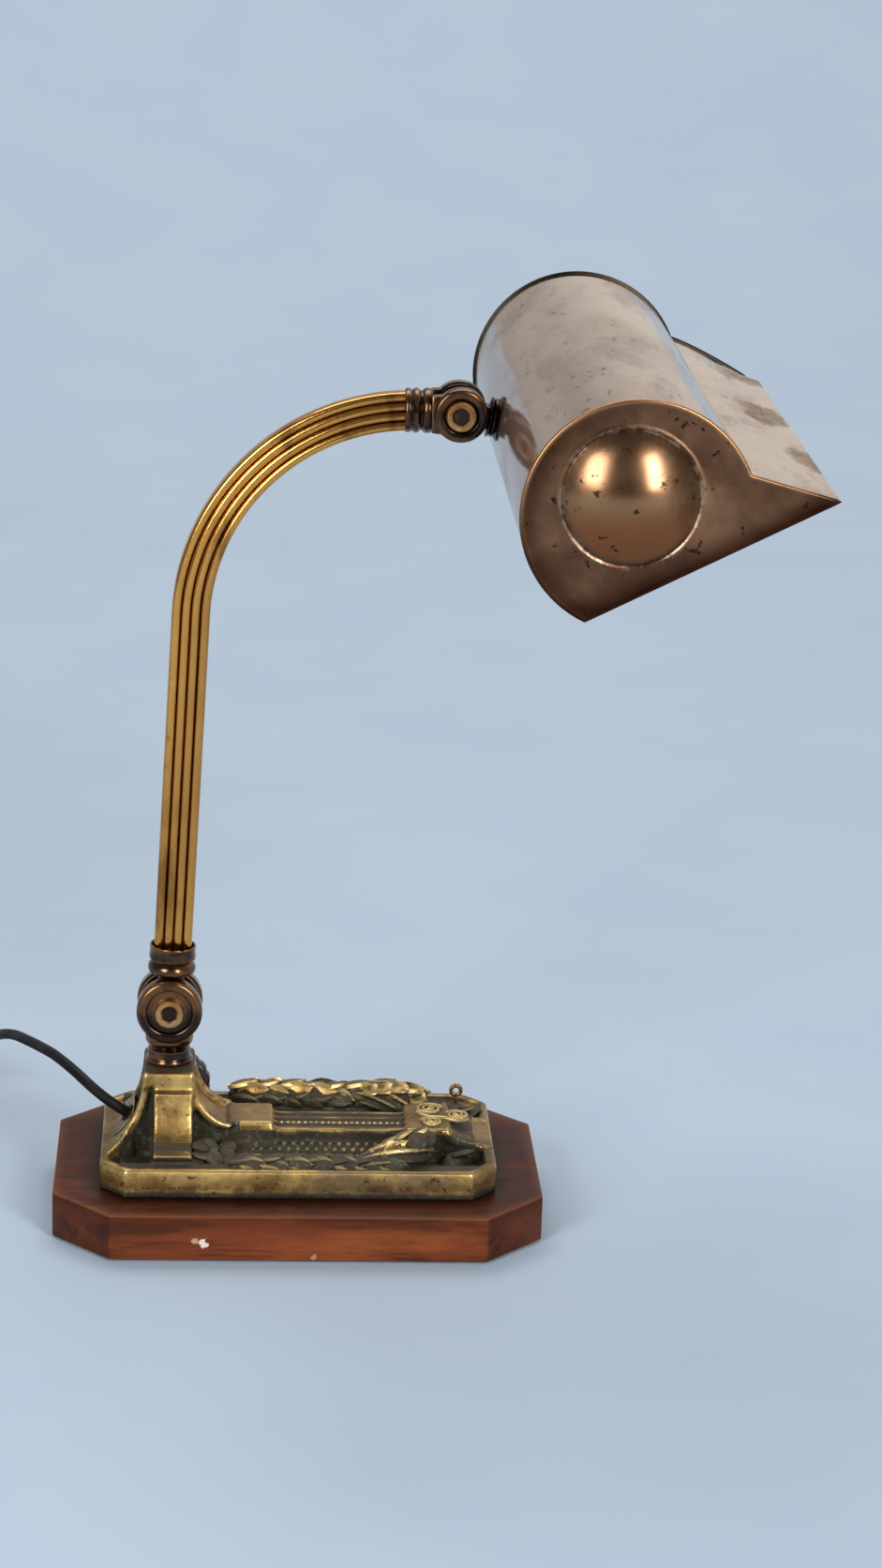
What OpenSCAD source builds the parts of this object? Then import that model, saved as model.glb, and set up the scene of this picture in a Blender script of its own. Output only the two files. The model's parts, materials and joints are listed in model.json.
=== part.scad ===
// Jointed desk lamp: a long half-tube shade on a reeded swan arm, over a cast pen tray
// on a wooden plinth. Millimetres, +Z up, X along the tray towards the shade, Y away
// from the front. The origin is the middle of the plinth's underside.

/* [Plinth] */
// Width of the wooden plinth, along X
plinth_w = 190; // [180:1:230]
// Depth of the plinth, along Y
plinth_d = 121; // [110:1:150]
// Height of the plinth's top above the table
plinth_top = 19; // [16:0.5:30]
// Corner cut of the plinth, along each side
plinth_cut = 22.5; // [12:0.5:26]
// Thickness of the felt under the plinth
felt_t = 1; // [0.6:0.1:2]
// Step of the felt in from the plinth's edge
felt_inset = 5; // [2:0.5:12]

/* [Tray casting] */
// Width of the casting, along X
base_w = 154; // [150:1:165]
// Depth of the casting, along Y
base_d = 86; // [82:1:95]
// Height of the rim above the plinth
rim_h = 11.5; // [10.5:0.5:14]
// Corner cut of the casting
base_cut = 10; // [6:0.5:12]
// Thickness of the rim
rim_w = 4.5; // [3:0.25:6]
// Thickness of the tray's floor
tray_floor = 4.5; // [3:0.25:6]
// Width of the ledge that each garland lies on
ledge_w = 9; // [8:0.25:11]
// Height of the ledge above the plinth
ledge_h = 9.5; // [8:0.25:10]
// Radius of a garland's roll
garland_r = 4; // [3:0.25:4.2]
// Diameter of the screws that hold the casting to the plinth
screw_d = 4; // [3:0.25:5]

/* [Pedestal] */
// Middle of the pedestal from the tray's left end
ped_in = 26; // [24:0.5:28]
// Height of the pedestal's top above the plinth
ped_h = 40.5; // [39:0.5:50]
// Width of the pedestal's top
ped_top_w = 20; // [19:0.5:24]
// Depth of the pedestal
ped_d = 28; // [26:0.5:32]
// Thickness of the pedestal's top block
ped_cap_t = 5.8; // [4:0.2:7]
// Wall of the hollow pedestal
ped_wall = 3; // [2.5:0.1:3.4]
// Reach of the right flank, from the top block to its foot
flank_w = 16; // [14:0.5:20]
// Height of the right flank's foot above the plinth
flank_foot_h = 19; // [16:0.5:22]
// Width of the front strap
strap_w = 15; // [10:0.5:17]
// Reach of the strap's foot in front of the pedestal
strap_out = 18; // [12:0.5:20]

/* [Bridge and bar] */
// Left face of the bridge at the tray's right end, along X
bridge_x = 42.5; // [40:0.5:46]
// Length of the bridge's flat top
bridge_top_w = 17; // [14:0.5:20]
// Height of the bridge above the plinth
bridge_h = 18; // [15:0.5:22]
// Width of the fluted bar between the pedestal and the bridge
bar_w = 20; // [16:0.5:22]
// Height of the fluted bar above the plinth
bar_h = 16; // [14:0.5:17]
// Length of the plain block at the bar's left end
block_l = 15; // [10:0.5:20]
// Width of the plain block
block_w = 21.5; // [20:0.5:26]
// Radius of the bar's flutes
flute_r = 1.8; // [1:0.1:2.2]
// Height of the troughs' sloping floors where they meet the bar, above the plinth
slope_h = 10.5; // [8:0.25:12]

/* [Arm] */
// Height of the lower joint's axis above the pedestal's top
lower_h = 23.5; // [22:0.5:30]
// Lean of the arm's straight part
arm_lean = 2.3; // [0:0.1:6]
// Straight part of the arm, from the lower axis to the bend
arm_rise = 158; // [120:0.5:220]
// Radius of the bend, at the arm's middle
arm_bend_r = 83; // [60:0.5:110]
// Straight end of the arm, from the bend to the upper axis
arm_end = 16.8; // [16:0.1:20]
// Width of one reed
reed_w = 3.65; // [3.2:0.05:3.8]
// Reeds on each face
reeds = 4; // [3:1:4]
// Thickness of the arm
arm_t = 8; // [7.5:0.1:9]
// Wall of the arm between a groove and the hollow
arm_wall = 1; // [0.6:0.1:1.2]

/* [Joints] */
// Radius of the lower joint's discs
lower_r = 12.8; // [11.5:0.1:13.5]
// Radius of the upper joint's discs
upper_r = 10.2; // [9.6:0.1:10.6]
// Thickness of a fork's cheek
cheek_t = 6; // [5:0.1:7]
// Thickness of a tongue
tongue_t = 8; // [7:0.1:9]
// Thickness of a friction washer
washer_t = 0.8; // [0.5:0.1:1.2]
// Diameter of the pivot bolts
bolt_d = 6; // [5:0.1:6.5]
// Radius of the round nut on a pivot bolt
nut_r = 5.7; // [4.8:0.1:6.4]
// Radius of the lower collar
lower_collar_r = 9.3; // [9:0.1:10]
// Radius of the upper collar
upper_collar_r = 8.6; // [8.4:0.1:9]

/* [Shade] */
// Outer radius of the shade's tube
shade_r = 41; // [38:0.5:48]
// Length of the shade, over its end caps' plates
shade_l = 264; // [240:1:320]
// Thickness of the shade's sheet
shade_t = 0.9; // [0.7:0.1:1.4]
// Reach of the visor's edge in front of the tube's axis
visor_x = 65.2; // [60:0.2:72]
// Drop of the mouth below the tube's axis
mouth_drop = 25.3; // [22:0.1:28]
// Drop of the crease between tube and visor below the axis
crease_drop = 3.4; // [1:0.1:6]
// Tilt of the shade in its photographed pose
shade_tilt = 26.9; // [0:0.1:45]
// Drop of the stem from the upper joint to the tube's axis, in degrees
stem_drop = 10; // [0:0.5:20]
// Upper axis to the tube's surface
shade_off = 14.7; // [14.4:0.1:20]
// Thickness of an end cap
cap_t = 1.2; // [0.8:0.1:2]
// Radius of an end cap's dome
dome_r = 24; // [20:0.5:26]
// Height of the dome
dome_h = 9; // [5:0.5:12]
// Height of the dome's middle above the tube's axis
dome_up = 7.4; // [4:0.2:9]

/* [Lampholder] */
// Outer radius of the lampholder
holder_r = 14; // [13:0.25:15]
// Length of the lampholder's shell
holder_l = 36; // [32:0.5:40]
// Length of the lampholder's rear cap
holder_cap_l = 12; // [10:0.5:16]
// Middle of the shade to the bracket's upright
bracket_y = 40; // [34:0.5:46]
// Width of the bracket's strip
bracket_w = 14; // [11:0.5:16]
// Thickness of the bracket's strip
bracket_t = 2; // [1.5:0.1:3]
// Radius of the bulb's screw cap
bulb_cap_r = 6.95; // [6.8:0.05:7.1]
// Radius of the bulb's glass
bulb_r = 14; // [12:0.25:15]
// Length of the bulb's glass
bulb_l = 86; // [70:1:100]
// Wall of the bulb's glass
glass_t = 0.9; // [0.6:0.1:1.2]

/* [Switch] */
// Middle of the switch from the pedestal's middle, along X
switch_dx = 3; // [1:0.1:3.4]
// Clearance of the switch's barrel below the neck's nut
switch_gap = 0.5; // [0.2:0.1:1.5]
// Radius of the switch's barrel inside the pedestal
switch_r = 4.6; // [4.2:0.1:4.7]
// Radius of the switch's knob
knob_r = 13.5; // [10:0.25:13.5]
// Thickness of the knob
knob_t = 9; // [7:0.25:11]

/* [Cord and plug] */
// Diameter of the cord
cord_d = 4.3; // [4:0.1:4.5]
// Loops in the put-away coil, an odd quarter past a whole number
coil_turns = 9.25; // [8.25:1:10.25]
// Innermost radius of the coil
coil_r_in = 20; // [18:0.5:24]
// Gap between neighbouring loops
coil_gap = 0.6; // [0.5:0.05:1]
// Thickness of the tie round the coil
tie_t = 0.7; // [0.5:0.1:1]
// Width of the tie
tie_w = 6; // [4:0.5:8]
// Radius of the plug's body
plug_r = 13; // [11:0.5:15]
// Length of the plug's body
plug_l = 34; // [28:1:40]
// Spacing of the plug's pins
pin_gap = 19; // [16:0.5:19]
// Diameter of a plug pin
pin_d = 4; // [3.5:0.1:4.8]
// Length of a plug pin
pin_l = 19; // [15:0.5:22]

/* [Hidden] */
$fn = 64;
run_gap = 0.05;
face_gap = 0.1;
turn_gap = 0.5;
curve_steps = 8;

// Tray casting
tray_x0 = -base_w / 2 + rim_w;
tray_x1 = base_w / 2 - rim_w - 5;
ledge_y = base_d / 2 - rim_w;
tray_y = ledge_y - ledge_w;
garland_y = ledge_y - garland_r - face_gap;
garland_z = ledge_h + 0.7 * garland_r;
leaf_len = 26;
leaf_r = 1.4 * garland_r;
screw_in = 17;
screw_x = base_w / 2 - screw_in;
screw_y = ledge_y - ledge_w / 2;
screw_head_d = 2.1 * screw_d;
screw_head_t = 3;
screw_sink = 6;
screw_grip = 6;
eye_x = tray_x1 - 3;
eye_y = ledge_y - 5;
eye_r = 2;
eye_wire = 0.75;
eye_stand = 6.5;
eye_root = 3;

// Pedestal
ped_x = -base_w / 2 + ped_in;
ped_left = ped_x - ped_top_w / 2;
ped_right = ped_x + ped_top_w / 2;
flank_x = ped_right + flank_w;
ped_lip = 1;
panel_in = 2.2;
panel_depth = 2.5;
cavity_d = ped_d - 3 * ped_wall;
cavity_top = ped_h - ped_cap_t - 1.2;
strap_top = ped_h - ped_cap_t - 1.4;
strap_foot = rim_h + 2;
strap_lip = 4;
spigot_r = 5;
spigot_out = 0.4;
wire_bore_r = 2.6;
neck_washer_t = 1;
neck_washer_r = 7;
neck_nut_t = 3.5;
neck_nut_r = 7.2;
flex_r = 1.5;

// Cord hole, square to the left flank
hole_t = 50.5;
flank_a = ped_left + base_w / 2;
flank_b = ped_h - rim_h;
hole_x = -base_w / 2 + flank_a * cos(hole_t);
hole_z = plinth_top + ped_h - flank_b * sin(hole_t);
hole_turn = atan2(-flank_b * cos(hole_t), flank_a * sin(hole_t));
bush_flange_r = 3.6;
bush_flange_t = 1.4;
bush_r = 2.9;
bush_sink = 0.6;
bush_l = 7;

// Joints
slot_w = tongue_t + 2 * (washer_t + 2 * face_gap);
dish_t = 1.2;
dish_in = 4;
disc_edge = 1;
bolt_r = bolt_d / 2;
bolt_head_t = 2.6;
round_nut_t = 3;
washer_in = 3.2;
tongue_step = 0.6;
groove_w = 4.6;
groove_in = 4;
web_w = 9;
lower_z = plinth_top + ped_h + lower_h;
lower_at = [ped_x, 0, lower_z];
lower_collar_l = 11.5;
socket_l = 8;
socket_gap = 0.12;
mouth_in = 4;
upper_mouth = arm_end + mouth_in;
arm_w = reeds * reed_w;
reed_steps = 5;
reed_mid = (arm_t - reed_w) / 2;
bend_steps = 18;
core_t = arm_t - reed_w - 2 * arm_wall;
core_w = arm_w - 2 * reed_w;
bend = 90 - arm_lean;
arm_start = lower_r + turn_gap + lower_collar_l - socket_l;
bend_in_arm = [arm_bend_r * (1 - cos(bend)), arm_rise + arm_bend_r * sin(bend)];
bend_end = [
    lower_at[0] + bend_in_arm[0] * cos(arm_lean) + bend_in_arm[1] * sin(arm_lean),
    lower_z - bend_in_arm[0] * sin(arm_lean) + bend_in_arm[1] * cos(arm_lean)
];
upper_at = [bend_end[0] + arm_end, 0, bend_end[1]];

// Shade
tube_far = shade_off + shade_r;
shade_at = upper_at + tube_far * [cos(stem_drop), 0, -sin(stem_drop)];
shell_l = shade_l - 2 * cap_t;
crease_ang = asin(crease_drop / shade_r);
crease_x = shade_r * cos(crease_ang);
crease_at = [crease_x, -crease_drop];
tip_at = [visor_x, -mouth_drop];
visor_run = (tip_at - crease_at) / norm(tip_at - crease_at);
visor_in = crease_at + shade_t * [visor_run[1], -visor_run[0]];
visor_k = visor_in * visor_run;
inner_r = shade_r - shade_t;
visor_back = sqrt(visor_k * visor_k - visor_in * visor_in + inner_r * inner_r) - visor_k;
inner_crease = visor_in + visor_back * visor_run;
inner_tip = visor_in + (mouth_drop + 2 + visor_in[1]) / -visor_run[1] * visor_run;
dome_ball = (dome_r * dome_r + dome_h * dome_h) / (2 * dome_h);
dome_bead = 0.8;
stem_ring_t = 1.6;
stem_ring_r = 6.2;
rosette_r = 8.5;
rosette_neck_r = 5.6;
stem_r = 4;
stem_bore_r = 2;
stem_nut_t = 4;
stem_nut_r = 7;
foot_t = 3;
saddle_gap = 0.02;
bracket_drop = 9;
nipple_r = 5;
holder_nut_t = 3;
holder_nut_r = 8;
holder_wall = 2.5;
core_l = 28;
core_back = 1.5;
screw_shell_t = 0.45;
cap_gap = 0.1;
bulb_cap_l = 22;
bulb_neck_r = 6.4;
bulb_shoulder = 12;
bulb_seat = 2;

// Switch
switch_x = ped_x + switch_dx;
switch_h = cavity_top - neck_washer_t - neck_nut_t - spigot_out - switch_gap - switch_r;
switch_z = plinth_top + switch_h;
switch_l = 7;
bushing_r = 3.5;
bushing_l = 2.4;
switch_nut_r = 6;
switch_nut_t = 2;
knob_y = ped_d / 2 + ped_lip + 2;
knob_edge = 2.5;
shaft_r = 2;
shaft_in = 9;

// Cord: hand-chosen route of the free stretch, from the bush to the coil
cord_r = cord_d / 2;
cord_out = 9;
cord_route = [
    [-81, 3, 46.5],
    [-88.5, 12, 50],
    [-96.5, 26, 51],
    [-102.5, 40, 49],
    [-109, 56, 46],
    [-116, 76, 41],
    [-123, 97, 33],
    [-130, 110, 25],
    [-140, 120, 16],
    [-152, 126, 8.5],
    [-165, 128, 4]
];
coil_at = [-184, 96.5];
coil_layers = 4;
coil_steps = 24;
coil_pitch = cord_d + coil_gap;
layer_turns = coil_turns / coil_layers;
coil_r_out = coil_r_in + layer_turns * coil_pitch;
coil_lift = tie_t + 0.3;
coil_z0 = coil_lift + cord_r;
tie_ang = 20;
tie_gap = 0.5;
tail_l = 44;
sleeve_l = 14;
sleeve_r = 4.2;
plug_z = plug_r;

// Colours
wood_tone = "#6b2f1c";
brass_tone = "#8f7a40";
bronze_tone = "#4a3426";
plate_tone = "#9c8f8a";
cap_tone = "#7a5a3c";
black_tone = "#1c1a19";

// Shared shapes
function quarter(mid, a, b, t0, t1) = [
    for (i = [0 : curve_steps])
        let (t = t0 + (t1 - t0) * i / curve_steps)
            [mid[0] + a * cos(t), mid[1] + b * sin(t)]
];

module octagon(w, d, c) {
    x = w / 2;
    y = d / 2;
    polygon([
        [x - c, -y], [x, c - y], [x, y - c], [x - c, y],
        [c - x, y], [-x, y - c], [-x, c - y], [c - x, -y]
    ]);
}

module along_y(l) {
    rotate([90, 0, 0])
        linear_extrude(l, center = true)
            children();
}

module ring(r, bore_r, t) {
    difference() {
        cylinder(h = t, r = r);
        translate([0, 0, -1])
            cylinder(h = t + 2, r = bore_r);
    }
}

module both_sides_y() {
    children();
    mirror([0, 1, 0])
        children();
}

// A tube along points: rings square to the path, joined by triangles
function unit(v) = v / norm(v);
function heading(p, i) = unit(p[min(i + 1, len(p) - 1)] - p[max(i - 1, 0)]);
function ring_at(p, i, r, sides, ref) =
    let (t = heading(p, i), s = unit(cross(t, ref)), u = cross(s, t))
        [for (k = [0 : sides - 1]) p[i] + r * (cos(360 * k / sides) * s + sin(360 * k / sides) * u)];
function wrap_faces(rings, sides) = [
    for (i = [0 : rings - 2], k = [0 : sides - 1])
        let (a = i * sides + k, b = i * sides + (k + 1) % sides)
            each [[a, b, b + sides], [a, b + sides, a + sides]]
];
function end_faces(first, sides, turn) = [
    for (k = [1 : sides - 2])
        turn ? [first, first + k + 1, first + k] : [first, first + k, first + k + 1]
];

module tube(p, r, sides, ref = [0, 0, 1]) {
    pts = [for (i = [0 : len(p) - 1]) each ring_at(p, i, r, sides, ref)];
    faces = concat(
        wrap_faces(len(p), sides),
        end_faces(0, sides, true),
        end_faces((len(p) - 1) * sides, sides, false)
    );
    polyhedron(pts, faces, convexity = 10);
}

// A smooth curve through hand-chosen points
function between(a, b, c, d, f) =
    0.5 * (2 * b + (c - a) * f + (2 * a - 5 * b + 4 * c - d) * f * f
        + (3 * b - a - 3 * c + d) * f * f * f);
function smooth(p, n) = concat(
    [
        for (i = [0 : len(p) - 2], k = [0 : n - 1])
            between(p[max(i - 1, 0)], p[i], p[i + 1], p[min(i + 2, len(p) - 1)], k / n)
    ],
    [p[len(p) - 1]]
);

// Frames
module on_plinth() {
    translate([0, 0, plinth_top])
        children();
}

module at_hole() {
    translate([hole_x, 0, hole_z])
        rotate([0, hole_turn, 0])
            children();
}

module at_switch() {
    translate([switch_x, 0, switch_z])
        children();
}

module at_lower() {
    translate(lower_at)
        children();
}

module in_arm() {
    translate(lower_at)
        rotate([0, arm_lean, 0])
            children();
}

module at_upper() {
    translate(upper_at)
        rotate([0, 90, 0])
            children();
}

module at_stem() {
    translate(upper_at)
        rotate([0, 90 + stem_drop, 0])
            children();
}

module in_shade() {
    translate(shade_at)
        rotate([0, -shade_tilt, 0])
            children();
}

module to_stem() {
    translate(shade_at)
        rotate([0, stem_drop - 90, 0])
            children();
}

// Plinth and tray
module felt_pad() {
    color("#23301f")
        linear_extrude(felt_t)
            octagon(plinth_w - 2 * felt_inset, plinth_d - 2 * felt_inset, plinth_cut);
}

module screw_places() {
    for (x = [-screw_x, screw_x], y = [-screw_y, screw_y])
        translate([x, y, 0])
            children();
}

module plinth() {
    color(wood_tone)
        difference() {
            translate([0, 0, felt_t])
                linear_extrude(plinth_top - felt_t)
                    octagon(plinth_w, plinth_d, plinth_cut);
            screw_places() {
                cylinder(h = plinth_top + 1, d = screw_d + 0.4);
                cylinder(h = felt_t + screw_sink, d = screw_head_d + 0.6);
            }
        }
}

module base_screws() {
    color("#8a8a86")
        screw_places()
            translate([0, 0, felt_t + screw_sink - screw_head_t]) {
                cylinder(h = screw_head_t, d = screw_head_d);
                cylinder(h = plinth_top - felt_t - screw_sink + screw_head_t + screw_grip, d = screw_d);
            }
}

left_curve = quarter([-base_w / 2, ped_h], flank_a, -flank_b, 90, 0);
right_curve = quarter([flank_x, ped_h], -flank_w, flank_foot_h - ped_h, 0, 90);

// Outline of the pedestal, drawn in by a step towards its middle
module ped_outline(side = 0, down = 0) {
    polygon(concat(
        [[-base_w / 2 + side, 0]],
        [for (q = left_curve) q + [side, -down]],
        [for (q = right_curve) q + [-side, -down]],
        [[flank_x - side, 0]]
    ));
}

// The left flank widens towards its foot, out to the rim's corners
module flank_flare() {
    foot_x = -base_w / 2;
    foot_y = base_d / 2 - base_cut - 2;
    in_x = foot_x + flank_a - 3.5;
    intersection() {
        along_y(base_d)
            ped_outline();
        linear_extrude(ped_h)
            polygon([
                [foot_x, -foot_y], [in_x, -ped_d / 2], [in_x, ped_d / 2], [foot_x, foot_y]
            ]);
    }
}

module pedestal_block() {
    difference() {
        along_y(ped_d)
            ped_outline();
        translate([0, -ped_d / 2, 0])
            along_y(2 * panel_depth)
                intersection() {
                    ped_outline(panel_in, panel_in / 2);
                    translate([-base_w / 2, tray_floor])
                        square([base_w, strap_top + 1 - tray_floor]);
                }
    }
    translate([ped_left, -ped_d / 2 - ped_lip, ped_h - ped_cap_t])
        cube([ped_top_w, ped_d + 2 * ped_lip, ped_cap_t]);
}

module front_strap() {
    y_top = -ped_d / 2 - strap_lip;
    y_foot = -ped_d / 2 - strap_out;
    y_back = -ped_d / 2 + panel_depth + 1;
    translate([ped_x - strap_w / 2 + 2, 0, 0])
        rotate([90, 0, 90])
            linear_extrude(strap_w)
                polygon(concat(
                    [[y_back, tray_floor - 1], [y_back, strap_top]],
                    quarter([y_foot, strap_top], y_top - y_foot, strap_foot - strap_top, 0, 90),
                    [[y_foot, tray_floor - 1]]
                ));
}

module fluted_bar() {
    bar_x = flank_x + block_l;
    translate([flank_x - 1, -block_w / 2, 0])
        cube([block_l + 1, block_w, flank_foot_h]);
    translate([flank_x, 0, 0])
        rotate([90, 0, 90])
            linear_extrude(bridge_x - flank_x + 1)
                polygon([
                    [-tray_y + 2, tray_floor - 1], [-tray_y + 2, tray_floor], [-bar_w / 2, slope_h],
                    [bar_w / 2, slope_h], [tray_y - 2, tray_floor], [tray_y - 2, tray_floor - 1]
                ]);
    difference() {
        translate([bar_x - 1, -bar_w / 2, 0])
            cube([bridge_x - bar_x + 2, bar_w, bar_h]);
        for (i = [-1 : 1])
            translate([bar_x, i * bar_w / 3.4, bar_h + flute_r / 3])
                rotate([0, 90, 0])
                    cylinder(h = bridge_x - bar_x, r = flute_r);
    }
}

module bridge() {
    top_x = bridge_x + bridge_top_w;
    along_y(ped_d)
        polygon(concat(
            [[bridge_x, 0], [bridge_x, bridge_h]],
            quarter([base_w / 2, bridge_h], top_x - base_w / 2, rim_h - bridge_h, 0, 90),
            [[base_w / 2, 0]]
        ));
}

module tray() {
    difference() {
        linear_extrude(rim_h)
            octagon(base_w, base_d, base_cut);
        translate([tray_x0, -tray_y, tray_floor])
            cube([tray_x1 - tray_x0, 2 * tray_y, rim_h]);
        translate([tray_x0, -ledge_y, ledge_h])
            cube([tray_x1 - tray_x0, 2 * ledge_y, rim_h]);
    }
}

module base_casting() {
    color(brass_tone)
        difference() {
            on_plinth() {
                tray();
                flank_flare();
                pedestal_block();
                front_strap();
                fluted_bar();
                bridge();
            }
            on_plinth() {
                along_y(cavity_d)
                    intersection() {
                        ped_outline(ped_wall, ped_wall / 2);
                        translate([-base_w / 2, -1])
                            square([base_w, cavity_top + 1]);
                    }
                translate([-base_w / 2 + 2 * ped_wall, -cavity_d / 2, -1])
                    cube([flank_x - ped_wall + base_w / 2 - 2 * ped_wall, cavity_d, 2]);
                screw_places()
                    translate([0, 0, -1])
                        cylinder(h = screw_grip + 1.5, d = screw_d + 2 * run_gap);
                translate([ped_x, 0, cavity_top - 1])
                    cylinder(h = ped_h - cavity_top + 2, r = spigot_r + run_gap);
                translate([eye_x, eye_y, ledge_h - eye_root - 0.5])
                    cylinder(h = eye_root + 1, r = eye_wire + run_gap);
            }
            at_hole() {
                translate([0, 0, -bush_l - 4])
                    cylinder(h = bush_l + 6, r = bush_r + run_gap);
                translate([0, 0, -bush_sink])
                    cylinder(h = 4, r = bush_flange_r + face_gap);
            }
            at_switch()
                rotate([-90, 0, 0])
                    cylinder(h = ped_d, r = bushing_r + run_gap);
        }
}

// A garland: a straight roll on its ledge, with a leaf at each end that turns inwards
module garland() {
    roll_x0 = flank_x + 3;
    roll_x1 = bridge_x - 14;
    leaf_turn = 33;
    translate([roll_x0, -garland_y, garland_z])
        rotate([0, 90, 0])
            cylinder(h = roll_x1 - roll_x0, r = garland_r);
    translate([roll_x0 + 2, -garland_y, garland_z])
        rotate([0, -90, -leaf_turn])
            cylinder(h = leaf_len / 3, r1 = 0.9 * garland_r, r2 = garland_r / 2);
    translate([roll_x1 - 3, -garland_y, garland_z])
        rotate([0, 90, leaf_turn])
            rotate_extrude()
                polygon([
                    [0, 0], [0.8 * garland_r, 0], [leaf_r, 0.55 * leaf_len],
                    [0.9 * leaf_r, 0.75 * leaf_len], [leaf_r / 2, leaf_len], [0, leaf_len]
                ]);
}

module seated_garland() {
    color(brass_tone)
        on_plinth()
            difference() {
                garland();
                translate([-base_w / 2, -base_d / 2, 0])
                    cube([base_w, base_d / 2 - tray_y, ledge_h]);
                translate([bridge_x - face_gap, -ped_d / 2 - face_gap, 0])
                    cube([base_w, ped_d, 2 * bridge_h]);
                translate([-base_w / 2, -base_d / 2, 0])
                    cube([base_w, rim_w + face_gap, 2 * bridge_h]);
            }
}

module front_garland() {
    seated_garland();
}

module rear_garland() {
    mirror([0, 1, 0])
        seated_garland();
}

module screw_eye() {
    color(brass_tone)
        on_plinth()
            translate([eye_x, eye_y, ledge_h]) {
                translate([0, 0, eye_stand])
                    rotate([90, 0, 0])
                        rotate_extrude()
                            translate([eye_r, 0])
                                circle(eye_wire, $fn = 32);
                translate([0, 0, -eye_root])
                    cylinder(h = eye_root + eye_stand - eye_r, r = eye_wire);
            }
}

module cord_bush() {
    color(black_tone)
        at_hole()
            difference() {
                union() {
                    translate([0, 0, -bush_l])
                        cylinder(h = bush_l, r = bush_r);
                    translate([0, 0, -bush_sink])
                        cylinder(h = bush_flange_t, r = bush_flange_r);
                }
                translate([0, 0, -bush_l - 1])
                    cylinder(h = bush_l + bush_flange_t + 2, r = cord_r + run_gap);
            }
}

// Inner wiring of the pedestal, from the bush up the hollow neck
function from_hole(s) = [hole_x, 0, hole_z] + s * [sin(hole_turn), 0, cos(hole_turn)];

module base_flex() {
    neck_z = plinth_top + cavity_top;
    color(black_tone)
        tube(smooth([
            from_hole(0), from_hole(-bush_l), from_hole(-bush_l - 5),
            [ped_x - 3, -2, switch_z - 9], [ped_x - 1, -4, switch_z],
            [ped_x, -1.5, neck_z - 6], [ped_x, 0, neck_z + 2],
            [ped_x, 0, lower_z - lower_r - 3]
        ], 3), flex_r, 8, [0, 1, 0]);
}

// Switch
module switch_body() {
    color(black_tone)
        at_switch()
            rotate([-90, 0, 0])
                difference() {
                    union() {
                        translate([0, 0, cavity_d / 2 - switch_l])
                            cylinder(h = switch_l, r = switch_r);
                        cylinder(h = ped_d / 2 + bushing_l, r = bushing_r);
                    }
                    translate([0, 0, -1])
                        cylinder(h = cavity_d / 2 - switch_l + 1, r = bushing_r + 1);
                    translate([0, 0, ped_d / 2 + bushing_l - shaft_in])
                        cylinder(h = shaft_in + 1, r = shaft_r + run_gap);
                }
}

module switch_nut() {
    color(brass_tone)
        at_switch()
            rotate([-90, 0, 0])
                translate([0, 0, ped_d / 2])
                    ring(switch_nut_r, bushing_r + run_gap, switch_nut_t);
}

module switch_knob() {
    color(bronze_tone)
        at_switch()
            rotate([-90, 0, 0]) {
                translate([0, 0, knob_y])
                    rotate_extrude() {
                        square([knob_r, knob_t - knob_edge]);
                        square([knob_r - knob_edge, knob_t]);
                        translate([knob_r - knob_edge, knob_t - knob_edge])
                            circle(knob_edge, $fn = 32);
                    }
                translate([0, 0, ped_d / 2 + bushing_l - shaft_in + turn_gap])
                    cylinder(h = knob_y - ped_d / 2 - bushing_l + shaft_in, r = shaft_r);
            }
}

// Knuckle joints: the axis is along Y, the fork's neck points down and the tongue's collar up
module cheek(r) {
    translate([0, -slot_w / 2, 0])
        rotate([90, 0, 0])
            rotate_extrude()
                difference() {
                    union() {
                        square([r - disc_edge, cheek_t]);
                        square([r, cheek_t - disc_edge]);
                        translate([r - disc_edge, cheek_t - disc_edge])
                            circle(disc_edge, $fn = 32);
                    }
                    translate([-1, -1])
                        square([bolt_r + run_gap + 1, cheek_t + 2]);
                    translate([-1, cheek_t - dish_t])
                        square([r - dish_in + 1, dish_t + 1]);
                }
}

module fork(r, neck_r) {
    web = min(1.8 * neck_r, 2 * (r - 2));
    difference() {
        both_sides_y() {
            cheek(r);
            translate([-web / 2, -slot_w / 2 - cheek_t + disc_edge + dish_t, -r - turn_gap])
                cube([web, cheek_t - disc_edge - dish_t, r - nut_r + turn_gap]);
        }
        rotate([90, 0, 0])
            cylinder(h = 4 * cheek_t + slot_w, r = bolt_r + run_gap, center = true);
    }
}

module tongue(r) {
    disc_r = r - tongue_step;
    difference() {
        union() {
            rotate([90, 0, 0])
                cylinder(h = tongue_t, r = disc_r, center = true);
            translate([-web_w / 2, -tongue_t / 2, 0])
                cube([web_w, tongue_t, r + turn_gap + 0.5]);
        }
        rotate([90, 0, 0])
            cylinder(h = tongue_t + 2, r = bolt_r + run_gap, center = true);
        rotate([90, 0, 0])
            difference() {
                cylinder(h = groove_w, r = r + 4, center = true);
                cylinder(h = groove_w + 1, r = disc_r - groove_in, center = true);
                translate([-web_w / 2, 0, -groove_w])
                    cube([web_w, 2 * r, 2 * groove_w]);
            }
        translate([0, 0, disc_r - groove_in])
            cylinder(h = r, r = stem_bore_r);
    }
}

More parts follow.
